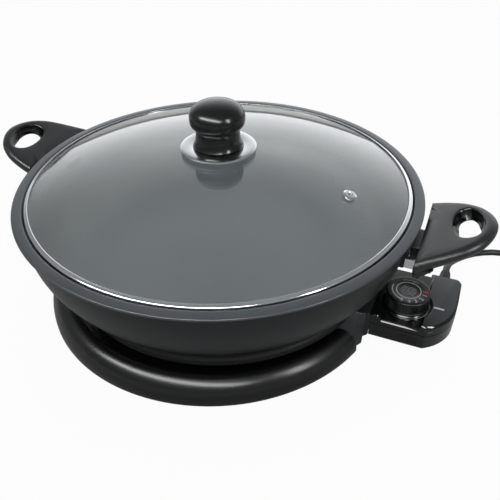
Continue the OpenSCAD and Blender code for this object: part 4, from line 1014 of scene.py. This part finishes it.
studio = {
    "floorHex": "#d9d9d7", "floorEdge": 6.0, "floorSeen": 0.96, "floorMirrored": 0.08,
    "airColour": (0.93, 0.95, 0.97, 1), "worldStrength": 0.24, "mirrorStrength": 0.34,
    # a glow behind the wok: strength, direction, share of the direction and height from none to full
    "backGlow": 1.7, "glowWay": (-0.22, 0.97, 0.0), "glowShare": (0.45, 0.98), "glowHeight": (1.0, 0.02),
    # place, width, height, watts, target, whether it shows in reflections only
    "lamps": {
        "softTop": ((0.0, 0.35, 1.4), 1.3, 1.0, 9.0, (0.0, 0.0, 0.05), False),
        "backPanel": ((-0.1, 1.75, 0.42), 3.2, 0.8, 9.0, (0.0, 0.0, 0.1), False),
        "leftStrip": ((-1.3, 0.1, 0.7), 0.25, 1.2, 2.4, (0.0, 0.0, 0.08), False),
        "frontFill": ((0.45, -0.75, 1.0), 0.6, 0.6, 3.0, (0.18, -0.02, 0.04), False),
        "plugStrip": ((-0.05, -0.74, 0.86), 1.7, 0.26, 20.0, (0.14, -0.03, 0.03), True),
        "cornerStrip": ((0.92, -0.30, 0.62), 0.14, 0.5, 4.0, (0.21, -0.03, 0.03), True),
    },
}


def mixed(tree, share, first, second):
    return addNode(tree, "ShaderNodeMixShader", None, {"Fac": share, 1: first, 2: second}).outputs["Shader"]


def softStep(tree, value, ends):
    settings = {"interpolation_type": "SMOOTHSTEP", "From Min": ends[0], "From Max": ends[1]}
    return addNode(tree, "ShaderNodeMapRange", settings, {"Value": value}).outputs["Result"]


def background(tree, colour, strength, links=None):
    return addNode(tree, "ShaderNodeBackground", {"Color": colour, "Strength": strength}, links).outputs["Background"]


def makeFloor():
    mesh = bpy.data.meshes.new("studioFloor")
    edge = studio["floorEdge"]
    mesh.from_pydata([(-edge, -edge, 0), (edge, -edge, 0), (edge, edge, 0), (-edge, edge, 0)], [], [(0, 1, 2, 3)])
    floor = addObject("studioFloor", mesh)
    paper = bpy.data.materials.new("whitePaperSweep")
    tree = emptyTree(paper)
    rays = addNode(tree, "ShaderNodeLightPath").outputs
    matt = addNode(tree, "ShaderNodeBsdfDiffuse", {"Color": toLinear(studio["floorHex"])}).outputs["BSDF"]
    glow = addNode(tree, "ShaderNodeEmission", {"Color": (1, 1, 1, 1), "Strength": 1.0}).outputs["Emission"]
    mirrored = calculated(tree, "MULTIPLY", {1: studio["floorMirrored"]}, {0: rays["Is Glossy Ray"]})
    seen = calculated(tree, "MULTIPLY_ADD", {1: studio["floorSeen"]}, {0: rays["Is Camera Ray"], 2: mirrored})
    addNode(tree, "ShaderNodeOutputMaterial", None, {"Surface": mixed(tree, seen, matt, glow)})
    mesh.materials.append(paper)


# white to the camera and through the glass, paler in reflections, dim as a light
def makeWorld():
    world = bpy.data.worlds.new("whiteStudio")
    tree = emptyTree(world)
    rays = addNode(tree, "ShaderNodeLightPath").outputs
    way = addNode(tree, "ShaderNodeTexCoord").outputs["Object"]
    facing = {"operation": "DOT_PRODUCT", 1: studio["glowWay"]}
    ahead = addNode(tree, "ShaderNodeVectorMath", facing, {0: way}).outputs["Value"]
    height = addNode(tree, "ShaderNodeSeparateXYZ", None, {"Vector": way}).outputs["Z"]
    behind, low = softStep(tree, ahead, studio["glowShare"]), softStep(tree, height, studio["glowHeight"])
    both = calculated(tree, "MULTIPLY", {}, {0: behind, 1: low})
    power = calculated(tree, "MULTIPLY_ADD", {1: studio["backGlow"], 2: studio["mirrorStrength"]}, {0: both})
    dim = background(tree, studio["airColour"], studio["worldStrength"])
    mirrored = background(tree, studio["airColour"], 1.0, {"Strength": power})
    white = background(tree, (1, 1, 1, 1), 1.0)
    through = calculated(tree, "MAXIMUM", {}, {0: rays["Is Camera Ray"], 1: rays["Is Transmission Ray"]})
    soft = mixed(tree, rays["Is Glossy Ray"], dim, mirrored)
    addNode(tree, "ShaderNodeOutputWorld", None, {"Surface": mixed(tree, through, soft, white)})
    plainScene.world = world


def makeLamps():
    for name, (place, width, height, watts, target, mirroredOnly) in studio["lamps"].items():
        light = bpy.data.lights.new(name, "AREA")
        light.shape = "RECTANGLE"
        light.size = width
        light.size_y = height
        light.energy = watts
        lamp = addObject(name, light)
        aim = (Vector(target) - Vector(place)).to_track_quat("-Z", "Y").to_matrix().to_4x4()
        lamp.matrix_world = Matrix.Translation(Vector(place)) @ aim
        lamp.visible_glossy = mirroredOnly
        lamp.visible_transmission = False
        lamp.visible_diffuse = not mirroredOnly


makeFloor()
makeWorld()
makeLamps()
plainScene.view_settings.view_transform = "Standard"
print("studio ready")
